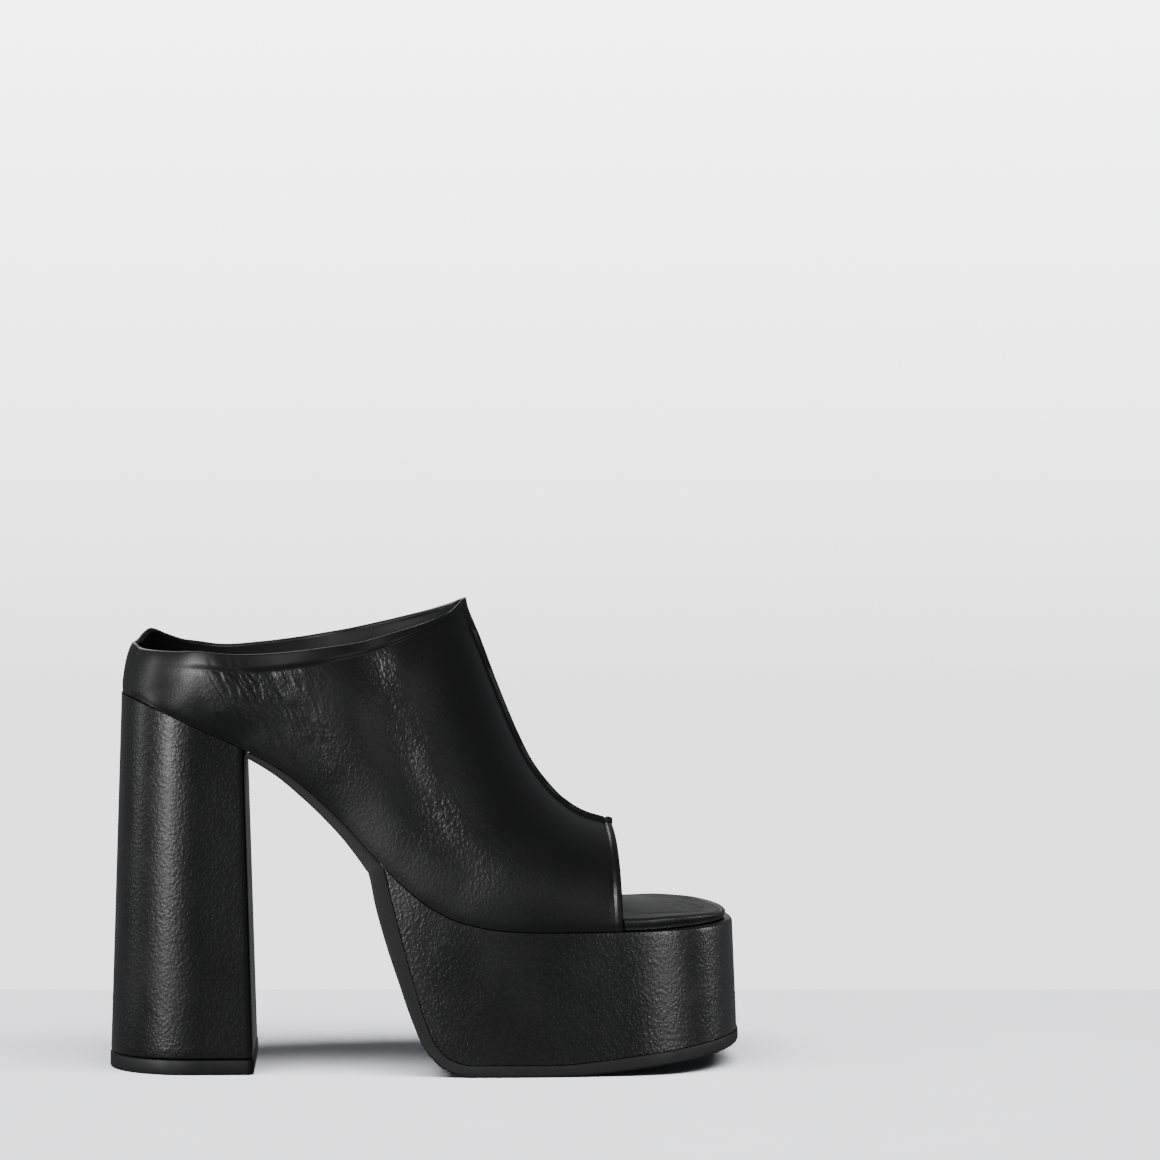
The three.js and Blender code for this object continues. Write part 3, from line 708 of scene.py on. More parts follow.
@dataclass(frozen=True)
class Fold:
    """Soft trough or ridge on the upper's side, along a path as seen from the side."""

    path: tuple[tuple[float, float], ...]  # x from the back and height of each point, in millimetres
    width: float
    depth: float  # below zero, a ridge
    wave: float = 0.0  # how far it wavers sideways, in millimetres

    def field(self, x: np.ndarray, z: np.ndarray) -> np.ndarray:
        """Depth at places: a bell across the path, which fades at both ends.

        Args:
            x: Places from the back.
            z: Heights.

        Returns:
            Millimetres inwards.
        """
        nodes = np.array(self.path)
        spans = np.diff(nodes, axis=0)
        lengths = np.hypot(*spans.T)
        starts = np.concatenate([[0], np.cumsum(lengths)])
        nearest, passed = np.full(x.shape, np.inf), np.zeros(x.shape)
        for (ax, az), (dx, dz), long, start in zip(nodes[:-1], spans, lengths, starts):
            share = np.clip(((x - ax) * dx + (z - az) * dz) / long**2, 0, 1)
            away_x, away_z = x - ax - share * dx, z - az - share * dz
            sign = np.where(away_x * dz - away_z * dx < 0, -1.0, 1.0)
            distance = np.hypot(away_x, away_z)
            closer = distance < np.abs(nearest)
            nearest = np.where(closer, sign * distance, nearest)
            passed = np.where(closer, start + share * long, passed)
        along = passed / starts[-1]
        sway = self.wave * np.sin(passed * 0.9 + 7 * self.path[0][0])
        fade = smooth(along, 0, 0.3) * (1 - smooth(along, 0.7, 1))
        return self.depth * bump_at(nearest + sway, self.width) * fade


@dataclass(frozen=True)
class Zone:
    """Patch of the upper's side where a trait of the leather shows, as seen from the side."""

    x: float
    z: float
    half_x: float
    half_z: float
    lean: float  # degrees that its upper end leans towards the heel
    strength: float = 1.0

    def field(self, x: np.ndarray, z: np.ndarray) -> np.ndarray:
        """Strength at places, fading outwards."""
        angle = math.radians(self.lean)
        across = (x - self.x) * math.cos(angle) + (z - self.z) * math.sin(angle)
        along = (z - self.z) * math.cos(angle) - (x - self.x) * math.sin(angle)
        return self.strength * np.exp(-((across / self.half_x) ** 2) - (along / self.half_z) ** 2)


@dataclass
class Upper:
    """Closed upper: one wall of leather and lining, with turned edges and a raised front seam."""

    last: Last
    wall: float = 2.2
    ridge_height: float = 1.25
    ridge_width: float = 3.0
    seam_height: float = 1.0
    seam_half: float = 0.75
    seam_shift: float = 2.5  # from the ridge towards the outer side
    seam_start: int = 2  # sections in front of the collar's peak
    collar_fold: float = 5.2  # width of the collar's turned edge
    toe_fold: float = 1.9
    rear_sections: int = 168
    vamp_sections: int = 144
    points: int = 121
    crowding: float = 1.7  # above 1, the points crowd at the top
    lining_step: int = 4
    edge_steps: int = 5
    seam_soft: float = 0.25
    seam_groove: float = 0.2  # depth of the lines along the rib's middle and foot
    fold_height: float = 0.4
    fold_groove: float = 0.2
    bead_height: float = 0.4
    bead_groove: float = 0.3
    foot_groove: float = 0.3  # dip along the lower edge
    foot_width: float = 1.6
    ease_reach: int = 16  # sections on each side that take part in an eased one
    ease_width: float = 8.0
    ease_span: float = 26.0  # sections on each side of the collar's peak that are eased
    inner_shift: float = 4.0  # how much farther back the creases lie on the inner side
    folds: tuple[Fold, ...] = (
        Fold(((80, 208), (92, 156), (101, 127), (113, 98), (131, 74), (148, 64)), 8.5, 1.7),
        Fold(((30, 166), (38, 145), (50, 120)), 10.0, -2.3),
        Fold(((5, 162), (9, 146), (16, 128)), 12.0, 1.4),
        Fold(((54, 150), (70, 128), (80, 108)), 5.0, 0.35),
    )
    creases: tuple[Fold, ...] = (
        Fold(((36, 151), (42, 143), (46, 134)), 1.0, 0.16, 0.5),
        Fold(((41, 152), (47, 142), (51, 131)), 1.1, 0.22, 0.6),
        Fold(((45, 152), (51, 141), (56, 128)), 1.1, 0.26, 0.6),
        Fold(((49, 151), (55, 139), (61, 126)), 1.2, 0.28, 0.7),
        Fold(((53, 150), (59, 138), (65, 124)), 1.1, 0.26, 0.6),
        Fold(((57, 148), (63, 136), (69, 121)), 1.2, 0.24, 0.7),
        Fold(((61, 146), (68, 132), (73, 118)), 1.2, 0.2, 0.6),
        Fold(((47, 138), (53, 130), (57, 122)), 1.0, 0.18, 0.4),
        Fold(((66, 140), (72, 128), (78, 114)), 1.3, 0.18, 0.6),
        Fold(((70, 132), (77, 120), (83, 108)), 1.3, 0.16, 0.5),
        Fold(((76, 128), (83, 114), (89, 102)), 1.4, 0.14, 0.5),
        Fold(((100, 152), (105, 136), (110, 118)), 1.3, 0.14, 0.5),
        Fold(((105, 150), (110, 132), (116, 114)), 1.3, 0.14, 0.5),
        Fold(((114, 124), (120, 110), (128, 96)), 1.5, 0.12, 0.5),
        Fold(((124, 104), (132, 92), (141, 82)), 1.5, 0.12, 0.4),
    )
    grain_zones: tuple[Zone, ...] = (
        Zone(56, 139, 14, 14, 25, 0.4),
        Zone(84, 116, 11, 14, 25, 0.8),
        Zone(99, 135, 7, 26, 15, 0.9),
        Zone(108, 128, 7, 20, 20, 0.8),
        Zone(121, 91, 12, 12, 30, 0.9),
        Zone(140, 76, 14, 8, 50, 0.4),
    )
    crease_zones: tuple[Zone, ...] = (
        Zone(54, 140, 14, 15, 25, 1.0),
        Zone(70, 124, 10, 12, 25, 0.7),
        Zone(104, 134, 6, 20, 15, 0.4),
        Zone(122, 98, 10, 12, 30, 0.3),
    )

    def stations(self) -> tuple[np.ndarray, np.ndarray]:
        """Sections from the outer toe opening round the heel to the inner one.

        Returns:
            Share of the length of each section, and its side.
        """
        last = self.last
        peak_foot = float(last.fan.along[np.argmax(last.fan.columns["crest"] == last.peak)])
        rear_end = float(last.turn_at_x(peak_foot * last.length))
        rear = last.x_at_turn(np.linspace(0, rear_end, self.rear_sections + 1)) / last.length
        front = np.linspace(peak_foot, last.opening, self.vamp_sections + 1)[1:]
        half = np.concatenate([rear, front])
        along = np.concatenate([half[::-1], half[1:]])
        side = np.where(np.arange(len(along)) < len(half) - 1, -1.0, 1.0)
        return along, side

    def outside(self, along: np.ndarray, side: np.ndarray) -> np.ndarray:
        """Outside of the wall: each section is a cubic Bezier curve from the lower edge to the top.

        Args:
            along: Share of the length of each section.
            side: Side of each section.

        Returns:
            Points of each section, in millimetres.
        """
        last = self.last
        fan = {name: last.fan.at(name, along) for name in last.fan.columns}
        turn = last.turn_at_x(np.maximum(along * last.length, last.back))
        x, y, out_x, out_y = last.plan_point(side, turn, 0.0)
        crest_x = fan["crest"] * last.length
        is_open = crest_x < last.peak * last.length - 1e-6
        half = last.heel_width / 2 * last.collar_plan.at("half", fan["crest"])
        half = half * round_end(
            crest_x - last.collar.along[0] * last.length, last.collar_round, last.heel_power
        )
        crest_y = np.where(is_open, side * half, 0)
        crest_z = np.where(is_open, last.collar_height(side, crest_x), last.ridge_height(crest_x))
        start = np.stack([x, y, last.feather_height(x)], axis=-1)
        end = np.stack([crest_x, crest_y, crest_z], axis=-1)
        climb = (end - start) * np.array([1, 0, 1])
        out = np.stack([out_x, out_y, np.zeros_like(x)], axis=-1)
        hip = start + climb * fan["hip"][:, None] + out * fan["belly"][:, None]
        shoulder = end - climb * fan["sag"][:, None] + out * fan["swell"][:, None]
        shoulder[:, 1] += (start[:, 1] - end[:, 1]) * fan["shoulder"]
        t = np.linspace(0, 1, self.points)[None, :, None]
        near, far = (1 - t) ** 3, t**3
        rise, fall = 3 * t * (1 - t) ** 2, 3 * t * t * (1 - t)
        curve = near * start[:, None] + rise * hip[:, None] + fall * shoulder[:, None]
        curve = curve + far * end[:, None]
        return self.eased(self.respaced(curve))

    def respaced(self, curve: np.ndarray) -> np.ndarray:
        """Moves each section's points along its curve, closer together near the top.

        Args:
            curve: Points of each section.

        Returns:
            As many points a section, on the same curves.
        """
        steps = np.linalg.norm(np.diff(curve, axis=1), axis=-1)
        length = np.concatenate([np.zeros((len(curve), 1)), np.cumsum(steps, axis=1)], axis=1)
        crowd = 1 - (1 - np.linspace(0, 1, self.points)) ** self.crowding
        rows = []
        for section, distance in zip(curve, length):
            target = crowd * distance[-1]
            rows.append(np.stack([np.interp(target, distance, section[:, k]) for k in range(3)], -1))
        return np.array(rows)

    def eased(self, grid: np.ndarray) -> np.ndarray:
        """Evens out the sections on both sides of the collar's peak, and leaves the edges as they are.

        Args:
            grid: Points of each section.

        Returns:
            The evened grid.
        """
        reach = self.ease_reach
        offsets = np.arange(-reach, reach + 1)
        weights = bump_at(offsets, self.ease_width)
        weights /= weights.sum()
        padded = np.pad(grid, ((reach, reach), (0, 0), (0, 0)), mode="edge")
        even = sum(w * padded[reach + o : reach + o + len(grid)] for w, o in zip(weights, offsets))
        to_peak = self.sections_to_peak(len(grid))
        below = self.below_top(grid)
        inside = smooth(below, 0.5, 9) * smooth(below[:, :1] - below, 0, 10)
        share = bump_at(to_peak, self.ease_span)[:, None] * inside
        return blend(grid, even, share[..., None])

    def normals(self, grid: np.ndarray, shared: np.ndarray) -> np.ndarray:
        """Outward directions of a grid from the cross product of its two slopes.

        Args:
            grid: Points of each section.
            shared: Sections whose top point lies on the ridge, shared by both sides.

        Returns:
            A direction for each point.
        """
        across = np.gradient(grid, axis=0)
        up = np.gradient(grid, axis=1)
        direction = np.cross(up, across)
        direction /= np.linalg.norm(direction, axis=-1, keepdims=True)
        top = direction[:, -1]
        both = top + top[::-1]
        both /= np.linalg.norm(both, axis=-1, keepdims=True)
        direction[:, -1] = np.where(shared[:, None], both, top)
        return direction

    def sections_to_peak(self, count: int) -> np.ndarray:
        """Sections in front of the collar's peak, below zero behind it, for each of a grid's."""
        return np.abs(np.arange(count) - (count - 1) / 2) - self.rear_sections

    def below_top(self, grid: np.ndarray) -> np.ndarray:
        """Way along each section from a point up to the top line."""
        steps = np.linalg.norm(np.diff(grid, axis=1), axis=-1)
        climb = np.concatenate([np.zeros((len(grid), 1)), np.cumsum(steps, axis=1)], axis=1)
        return climb[:, -1:] - climb

    def relief(
        self, grid: np.ndarray, side: np.ndarray, front: np.ndarray, x: np.ndarray
    ) -> np.ndarray:
        """Height of the creases, the front seam and the turned edges above the plain form.

        Args:
            grid: Points of each section.
            side: Side of each section.
            front: Sections in front of the collar's peak.
            x: Place of each point as the creases count it.

        Returns:
            Millimetres outwards for each point.
        """
        below = self.below_top(grid)
        climb = below[:, :1] - below
        to_peak = self.sections_to_peak(len(grid))
        in_front = smooth(to_peak, self.seam_start, self.seam_start + 4)[:, None]
        seam = np.abs(below + side[:, None] * self.seam_shift)
        soft, groove = self.seam_soft, self.seam_groove
        rib = self.seam_height * (1 - smooth(seam, self.seam_half - soft, self.seam_half + soft))
        rib = rib - groove * bump_at(seam, 0.3) - groove * bump_at(seam - self.seam_half - 0.9, 0.5)
        ridge = self.ridge_height * bump_at(below, self.ridge_width)
        rise = rib * in_front + ridge * smooth(to_peak, -3, 5)[:, None]
        behind = 1 - smooth(to_peak, -3, 2)[:, None]
        fold = self.fold_height * smooth(below, self.collar_fold + 1.5, self.collar_fold - 1.5)
        fold = fold - self.fold_groove * bump_at(below - self.collar_fold - 0.8, 1.2)
        fold = fold * smooth(grid[..., 0], 10, 45)
        rise = rise + fold * behind
        forward = np.linalg.norm(grid - grid[:1], axis=-1)
        backward = np.linalg.norm(grid - grid[-1:], axis=-1)
        to_opening = np.minimum(forward, backward)
        bead = self.bead_height * (1 - smooth(to_opening, self.toe_fold - 0.5, self.toe_fold + 0.3))
        bead = bead - self.bead_groove * bump_at(to_opening - self.toe_fold - 0.4, 0.5)
        rise = rise + bead * front[:, None]
        for crease in self.creases:
            rise = rise - crease.field(x, grid[..., 2])
        return rise - self.foot_groove * bump_at(climb, self.foot_width)

    def build(self) -> bpy.types.Object:
        """Builds the upper.

        Returns:
            The dressed piece.
        """
        along, side = self.stations()
        grid = self.outside(along, side)
        middle = (len(along) - 1) // 2
        front = np.abs(np.arange(len(along)) - middle) >= self.rear_sections
        out = self.normals(grid, front)
        x = grid[..., 0] + np.where(side < 0, 0.0, self.inner_shift)[:, None]
        z = grid[..., 2].copy()
        sunk = sum(fold.field(x, z) for fold in self.folds) * smooth(np.abs(grid[..., 1]), 1, 12)
        grid = grid - out * sunk[..., None]
        outside = grid + out * self.relief(grid, side, front, x)[..., None]
        inside = grid - out * self.wall
        inside[:, 0, 2] = self.last.feather_height(inside[:, 0, 0])
        outside[:, 0, 2] = self.last.feather_height(outside[:, 0, 0])
        layers = self.edged(outside, inside)
        plain = smooth(self.below_top(grid), self.collar_fold - 1, self.collar_fold + 2.5)
        grain = np.clip(0.3 + sum(zone.field(x, z) for zone in self.grain_zones), 0, 1) * plain
        crease = np.clip(sum(zone.field(x, z) for zone in self.crease_zones), 0, 1) * plain
        traits = {"grain": grain, "crease": crease}
        traits = {name: np.tile(trait.ravel(), len(layers)) for name, trait in traits.items()}
        faces, lining = self.faces(layers.shape[:3], front)
        points = self.last.place(layers.reshape(-1, 3))
        piece = make_piece("upper_shell", points, [*faces, *lining], 60.0, traits)
        count = sum(len(group) for group in faces)
        is_lining = np.arange(len(piece.data.polygons)) >= count
        piece.data.polygons.foreach_set("material_index", is_lining.astype(np.int32))
        dress(piece, "upper", UPPER_LEATHER, LINING_LEATHER)
        return piece

    def edged(self, outside: np.ndarray, inside: np.ndarray) -> np.ndarray:
        """Sheets from the outside to the inside, bowed out at the collar and the toe opening.

        Args:
            outside: Outer grid.
            inside: Inner grid.

        Returns:
            Grids in the order outside, the rounded edge's layers, inside.
        """
        angle = np.linspace(0, math.pi, self.edge_steps + 2)
        share = (1 - np.cos(angle)) / 2
        bow = np.sin(angle) * self.wall * 0.42
        up = outside[:, -1] - outside[:, -5]
        up /= np.linalg.norm(up, axis=-1, keepdims=True)
        ahead = np.zeros_like(outside)
        for row, nearby in ((0, 2), (-1, -3)):
            way = outside[row] - outside[nearby]
            ahead[row] = way / np.linalg.norm(way, axis=-1, keepdims=True)
        layers = []
        for part, lift in zip(share, bow):
            layer = outside + (inside - outside) * part
            layer[:, -1] += up * lift
            layer[0] += ahead[0] * lift
            layer[-1] += ahead[-1] * lift
            layers.append(layer)
        return np.array(layers)

    def faces(self, shape: tuple[int, int, int], front: np.ndarray) -> tuple[list, list]:
        """Faces of the wall: the outer skin, the lower edge, the collar, the opening and the lining.

        Args:
            shape: Counts of layers, sections and points.
            front: Sections whose top point is shared by both sides.

        Returns:
            The leather's faces and the lining's, whose cells are wider.
        """
        numbers = np.arange(np.prod(shape)).reshape(shape)
        mirrored = numbers[:, ::-1, -1].copy()
        inner_side = np.arange(shape[1]) > shape[1] // 2
        numbers[:, :, -1] = np.where(front & inner_side, mirrored, numbers[:, :, -1])
        skin = grid_faces(numbers[0])[:, ::-1]
        low = grid_faces(numbers[:, :, 0])
        behind = ~(front[:-1] & front[1:])
        top = grid_faces(numbers[:, :, -1]).reshape(shape[0] - 1, shape[1] - 1, 4)[:, behind]
        start = grid_faces(numbers[:, 0])[:, ::-1]
        end = grid_faces(numbers[:, -1])
        leather = [skin, low, top.reshape(-1, 4)[:, ::-1], start, end]
        return leather, self.lining_faces(numbers[-1], front)

    def lining_faces(self, numbers: np.ndarray, front: np.ndarray) -> list:
        """Lining in wide cells, which take up every point of the wall's edges.

        Args:
            numbers: Vertex numbers of the inner grid.
            front: Sections whose top point is shared by both sides.

        Returns:
            One array a cell.
        """
        step = self.lining_step
        last_row, last_column = numbers.shape[0] - 1, numbers.shape[1] - 1
        cells = []
        for i in range(0, last_row, step):
            for j in range(0, last_column, step):
                on_collar = j + step == last_column and not (front[i] and front[i + step])
                left = numbers[i, j : j + step] if i == 0 else numbers[i, j : j + 1]
                top = numbers[i : i + step, j + step]
                right = numbers[i + step, j + step : j : -1]
                low = numbers[i + step : i : -1, j]
                top = top if on_collar else top[:1]
                right = right if i + step == last_row else right[:1]
                low = low if j == 0 else low[:1]
                cells.append(np.concatenate([left, top, right, low])[None])
        return cells


@dataclass
class Insole:
    """Padded sock with a piped edge, over the insole board, which shows as a lower band."""

    last: Last
    thickness: float = 3.9
    rim: float = 0.9
    board: float = 1.4
    board_step: float = 0.5
    crown: float = 0.7
    piping: float = 1.9  # width of the piped edge
    piping_groove: float = 0.45
    level_from: float = 7.0  # distance from the edge where the crown starts
    set_in: float = 0.7
    toe_set_in: float = 2.6
    hidden_set_in: float = 2.8
    widening: float = 0.006
    sections: int = 190
    across: int = 26
    edge_rows: int = 11  # lines of the edge that the wrinkles leave alone
    wrinkles: tuple[Fold, ...] = (
        Fold(((206, 18), (214, 4), (218, -12)), 1.6, 0.35, 0.5),
        Fold(((200, 12), (209, -4), (212, -20)), 1.8, 0.28, 0.6),
        Fold(((213, 20), (220, 6), (222, -8)), 1.4, 0.3, 0.4),
        Fold(((192, 22), (199, 4), (201, -16)), 2.2, 0.2, 0.7),
        Fold(((196, 30), (210, 26), (219, 16)), 1.6, 0.25, 0.4),
        Fold(((188, -26), (202, -28), (213, -22)), 1.8, 0.25, 0.4),
    )

    def inset(self, x: np.ndarray) -> np.ndarray:
        """How far the edge lies inside the outline: clear of the wall, then nearly flush."""
        along = x / self.last.length
        opening = self.last.opening
        shown = blend(self.set_in, self.toe_set_in, smooth(along, opening + self.widening, 1))
        return blend(self.hidden_set_in, shown, smooth(along, opening, opening + self.widening))

    def rows(self, side: float, turn: np.ndarray) -> list[np.ndarray]:
        """Edge of one side, from the board's foot over the piped rim to where the crown starts.

        Args:
            side: -1 on the outer side and 1 on the inner.
            turn: Turns of the sections.

        Returns:
            One array of points for each line along the shoe, in millimetres.
        """
        last = self.last
        x = last.x_at_turn(turn)
        share = np.interp(x / last.length, (0.88, 0.95, 0.99), (1, 0.8, 0.55))
        thick = self.thickness * share
        rim = np.minimum(self.rim, thick - self.board)
        slope = np.arctan2(last.feather_height(x + 1) - last.feather_height(x - 1), 2)
        inwards, upwards = quarter(6)
        profile = [(self.board_step, 0 * x), (self.board_step, 0 * x + self.board - 0.25)]
        profile += [(0.3, 0 * x + self.board - 0.1), (0.3, 0 * x + self.board + 0.1)]
        profile += [(0.0, 0 * x + self.board + 0.3)]
        profile += [(rim * a, thick - rim * (1 - b)) for a, b in zip(inwards, upwards)]
        for more in (0.3, 0.6, 0.85, 1.05, 1.3, 1.7, 2.2, 3.0, 4.2, 5.6, self.level_from):
            groove = self.piping_groove * bump_at(np.array(rim + more - self.piping), 0.42)
            profile.append((rim + more, thick - groove))
        rows = []
        for more, height in profile:
            px, py, _, _ = last.plan_point(side, turn, -self.inset(x) - more)
            rise = (last.gap + height) / np.cos(slope)
            rows.append(np.stack([px, py, last.feather_height(px) + rise], -1))
        return rows

    def build(self) -> bpy.types.Object:
        """Builds the insole."""
        last = self.last
        opening = last.opening * last.length
        step = self.widening * last.length
        before = np.linspace(0, last.turn_at_x(opening), self.sections)
        change = last.turn_at_x(np.linspace(opening, opening + step, 8)[1:-1])
        after = np.linspace(last.turn_at_x(opening + step), 1, self.sections // 2)
        turn = np.concatenate([before, change, after])
        outer, inner = (self.rows(side.value, turn) for side in Side)
        middle = (outer[-1] + inner[-1]) / 2
        for rows in (outer, inner):
            edge = rows[-1]
            for share in np.linspace(0, 1, self.across)[1:-1]:
                point = blend(edge, middle, share)
                point[:, 2] += self.crown * math.sin(math.pi / 2 * share)
                rows.append(point)
        sides = [np.stack(rows, axis=1) for rows in (inner, outer)]
        for points in sides:
            top = np.arange(points.shape[1]) > self.edge_rows
            for wrinkle in self.wrinkles:
                points[..., 2] -= wrinkle.field(points[..., 0], points[..., 1]) * top
        piece = loft("insole_sock", last.place(ring_of(*sides)), sharp=60.0)
        dress(piece, "insole", INSOLE_LEATHER)
        return piece


@dataclass
class Platform:
    """Leather-covered platform: straight walls from a foot line to a top line, with a round shoulder."""

    last: Last
    shoulder: float = 1.8
    flare: float = 1.6
    sections: int = 170
    crowding: float = 1.3
    steps: int = 26

    def turns(self) -> tuple[np.ndarray, np.ndarray]:
        """Turns of the sections at their top and at their foot."""
        last = self.last
        wedge = last.turn_at_x(last.wedge_tip * last.length)
        top = blend(wedge, 1, np.linspace(0, 1, self.sections) ** self.crowding)
        foot = last.platform.at("foot", last.x_at_turn(top) / last.length) * last.length
        return top, last.turn_at_x(np.minimum(foot, last.tip))

    def side(self, side: float) -> np.ndarray:
        """Wall and shoulder of one side, from the foot up.

        Args:
            side: -1 on the outer side and 1 on the inner.

        Returns:
            Points of each section, in millimetres.
        """
        last = self.last
        top_turn, foot_turn = self.turns()
        toe = smooth(last.x_at_turn(top_turn) / last.length, last.opening, 1)
        shoulder = blend(last.gap, self.shoulder, toe)
        foot_x, foot_y, _, _ = last.plan_point(side, foot_turn, self.flare * toe)
        step = last.length * 0.002
        slope = np.arctan2(last.outsole_top(foot_x + step) - last.outsole_top(foot_x - step), 2 * step)
        foot = np.stack([foot_x, foot_y, last.outsole_top(foot_x) + last.gap / np.cos(slope)], -1)
        top_x, top_y, _, _ = last.plan_point(side, top_turn, 0.0)
        top = np.stack([top_x, top_y, last.feather_height(top_x) - last.gap - shoulder], -1)
        rows = [blend(foot, top, share) for share in np.linspace(0, 1, self.steps)]
        for inwards, upwards in list(zip(*quarter(7)))[1:]:
            x, y, _, _ = last.plan_point(side, top_turn, -shoulder * inwards)
            z = last.feather_height(x) - last.gap - shoulder * (1 - upwards)
            rows.append(np.stack([x, y, z], -1))
        return np.stack(rows, axis=1)

    def build(self) -> bpy.types.Object:
        """Builds the platform."""
        rings = ring_of(self.side(Side.INNER.value), self.side(Side.OUTER.value))
        piece = loft("platform_cover", self.last.place(rings), sharp=50.0)
        dress(piece, "platform", COVER_LEATHER)
        return piece


@dataclass
class Outsole:
    """Rubber outsole with a rounded lower edge."""

    last: Last
    platform: Platform
    lip: float = 0.5
    edge: float = 0.9
    waist_sections: int = 60

    def side(self, side: float, turn: np.ndarray) -> np.ndarray:
        """Edge of one side, from the tread up to the upper face.

        Args:
            side: -1 on the outer side and 1 on the inner.
            turn: Turns of the sections.

        Returns:
            Points of each section, in millimetres.
        """
        last = self.last
        along = last.x_at_turn(turn) / last.length
        toe = smooth(along, last.opening, 1)
        forefoot = smooth(along, last.wedge_tip, last.wedge_tip + 0.05)
        lip = blend(-self.lip, self.lip + self.platform.flare * toe, forefoot)
        thick = last.outsole_thickness * last.sole.at("thickness", along)
        lean = np.radians(last.sole.at("lean", along))
        bevel = np.minimum(self.edge, thick / 2)
        inwards, upwards = quarter(6)
        profile = [(thick - bevel * (1 - b), bevel * a) for a, b in zip(inwards, upwards)][::-1]
        level = 0 * thick
        profile += [(thick * 0.25, level), (thick * 0.1, level + 0.05), (level, level + 0.2)]
        rows = []
        for depth, inset in profile:
            x, y, _, _ = last.plan_point(side, turn, lip - inset)
            z = last.outsole_top(x) - depth * np.cos(lean)
            rows.append(np.stack([x - depth * np.sin(lean), y, z], -1))
        return np.stack(rows, axis=1)

    def build(self) -> bpy.types.Object:
        """Builds the outsole."""
        last = self.last
        start, wedge = (last.turn_at_x(a * last.length) for a in (last.sole.along[0], last.wedge_tip))
        waist = np.linspace(start, wedge, self.waist_sections)[:-1]
        turn = np.concatenate([waist, self.platform.turns()[1]])
        rings = ring_of(self.side(Side.INNER.value, turn), self.side(Side.OUTER.value, turn))
        piece = loft("outsole_rubber", last.place(rings), sharp=45.0)
        dress(piece, "outsole", OUTSOLE_RUBBER)
        return piece


@dataclass
class HeelBlock:
    """Leather-covered block heel: its seat follows the upper's lower edge, and its breast is flat."""

    last: Last
    breast_top: float = 49.4
    breast_foot: float = 52.8
    foot_width: float = 62.0
    corner: float = 2.0
    lift: float = 5.4
    rings: int = 40
    round_points: int = 90
    corner_points: int = 10
    hem: float = 0.7  # rounding of the cover's lower edge
    hem_middle: float = 0.55  # point that the hem shrinks towards, as a share of the foot's length
    hem_reach: float = 28.0  # that point's usual distance from the wall

    def side(self, side: float, height: np.ndarray, lip: float) -> np.ndarray:
        """Half of the outline at each height, from the round back to the breast.

        Args:
            side: -1 on the outer side and 1 on the inner.
            height: Shares of the way from the foot to the seat.
            lip: Millimetres outwards at the foot.

        Returns:
            x, y and the seat's x of each point, for each height.
        """
        last = self.last
        edge_x = self.breast_top - self.corner
        turn = np.linspace(0, last.turn_at_x(edge_x), self.round_points)
        x, y, _, _ = last.plan_point(side, turn, 0.0)
        angle = np.linspace(0, math.pi / 2, self.corner_points + 1)[1:]
        edge_y = float(last.outline_y(np.array(side), np.array(edge_x)))
        corner_x = self.breast_top - self.corner * (1 - np.sin(angle))
        corner_y = edge_y - side * self.corner * (1 - np.cos(angle))
        x, y = np.concatenate([x, corner_x]), np.concatenate([y, corner_y])
        stretch = (self.breast_foot + 2 * lip) / (self.breast_top - last.back)
        spread = (self.foot_width + 2 * lip) / last.heel_width
        share = height[:, None]
        foot_x = (x - last.back) * stretch - lip
        return np.stack([blend(foot_x, x, share), blend(y * spread, y, share), x + 0 * share], -1)

    def build(self) -> bpy.types.Object:
        """Builds the heel block."""
        last = self.last
        height = np.linspace(0, 1, self.rings)
        floor = self.lift + last.gap
        middle = np.array([self.breast_foot * self.hem_middle, 0])
        inwards, upwards = quarter(5)
        halves = []
        for side in Side:
            outline = self.side(side.value, height, 0.0)
            seat = last.feather_height(outline[..., 2]) - last.gap
            wall = outline.copy()
            wall[..., 2] = blend(floor + self.hem, seat, height[:, None])
            hems = []
            for a, b in list(zip(inwards, upwards))[1:]:
                ring = wall[0].copy()
                ring[:, :2] += (middle - ring[:, :2]) * (a * self.hem / self.hem_reach)
                ring[:, 2] = floor + self.hem * (1 - b)
                hems.append(ring)
            halves.append(np.concatenate([np.array(hems[::-1]), wall]))
        piece = loft("heel_cover", last.place(ring_of(*halves)), sharp=35.0)
        dress(piece, "heel_block", COVER_LEATHER)
        return piece


@dataclass
class TopLift:
    """Rubber top lift under the heel."""

    last: Last
    heel: HeelBlock
    lip: float = 0.3
    edge: float = 0.5

    def build(self) -> bpy.types.Object:
        """Builds the top lift."""
        bevel = self.edge * 0.3
        low = [(0.0, self.edge), (bevel, bevel), (self.edge, 0.0)]
        heights = low + [(self.heel.lift - z, inset) for z, inset in low[::-1]]
        rings = []
        for z, inset in heights:
            halves = [self.heel.side(side.value, np.zeros(1), self.lip - inset) for side in Side]
            ring = ring_of(*halves)
            ring[..., 2] = z
            rings.append(ring)
        piece = loft("top_lift", self.last.place(np.concatenate(rings)), sharp=35.0)
        dress(piece, "heel_top_lift", LIFT_RUBBER)
        return piece


class Lit(Enum):
    """Pieces that a lamp is set for, by node, as a photographer shades off the rest."""

    UPPER = ("upper",)
    FOREFOOT = ("insole", "platform", "outsole")
    COVERS = ("insole", "platform", "outsole", "heel_block", "heel_top_lift")
    SHOE = ("upper", "insole", "platform", "outsole", "heel_block", "heel_top_lift")


@dataclass(frozen=True)
class Lamp:
    """Soft rectangular light, in metres and watts."""

    name: str
    place: tuple[float, float, float]
    aim: tuple[float, float, float]
    size: tuple[float, float]
    power: float
    lit: Lit | None = None  # pieces that it lights, all where there is none given


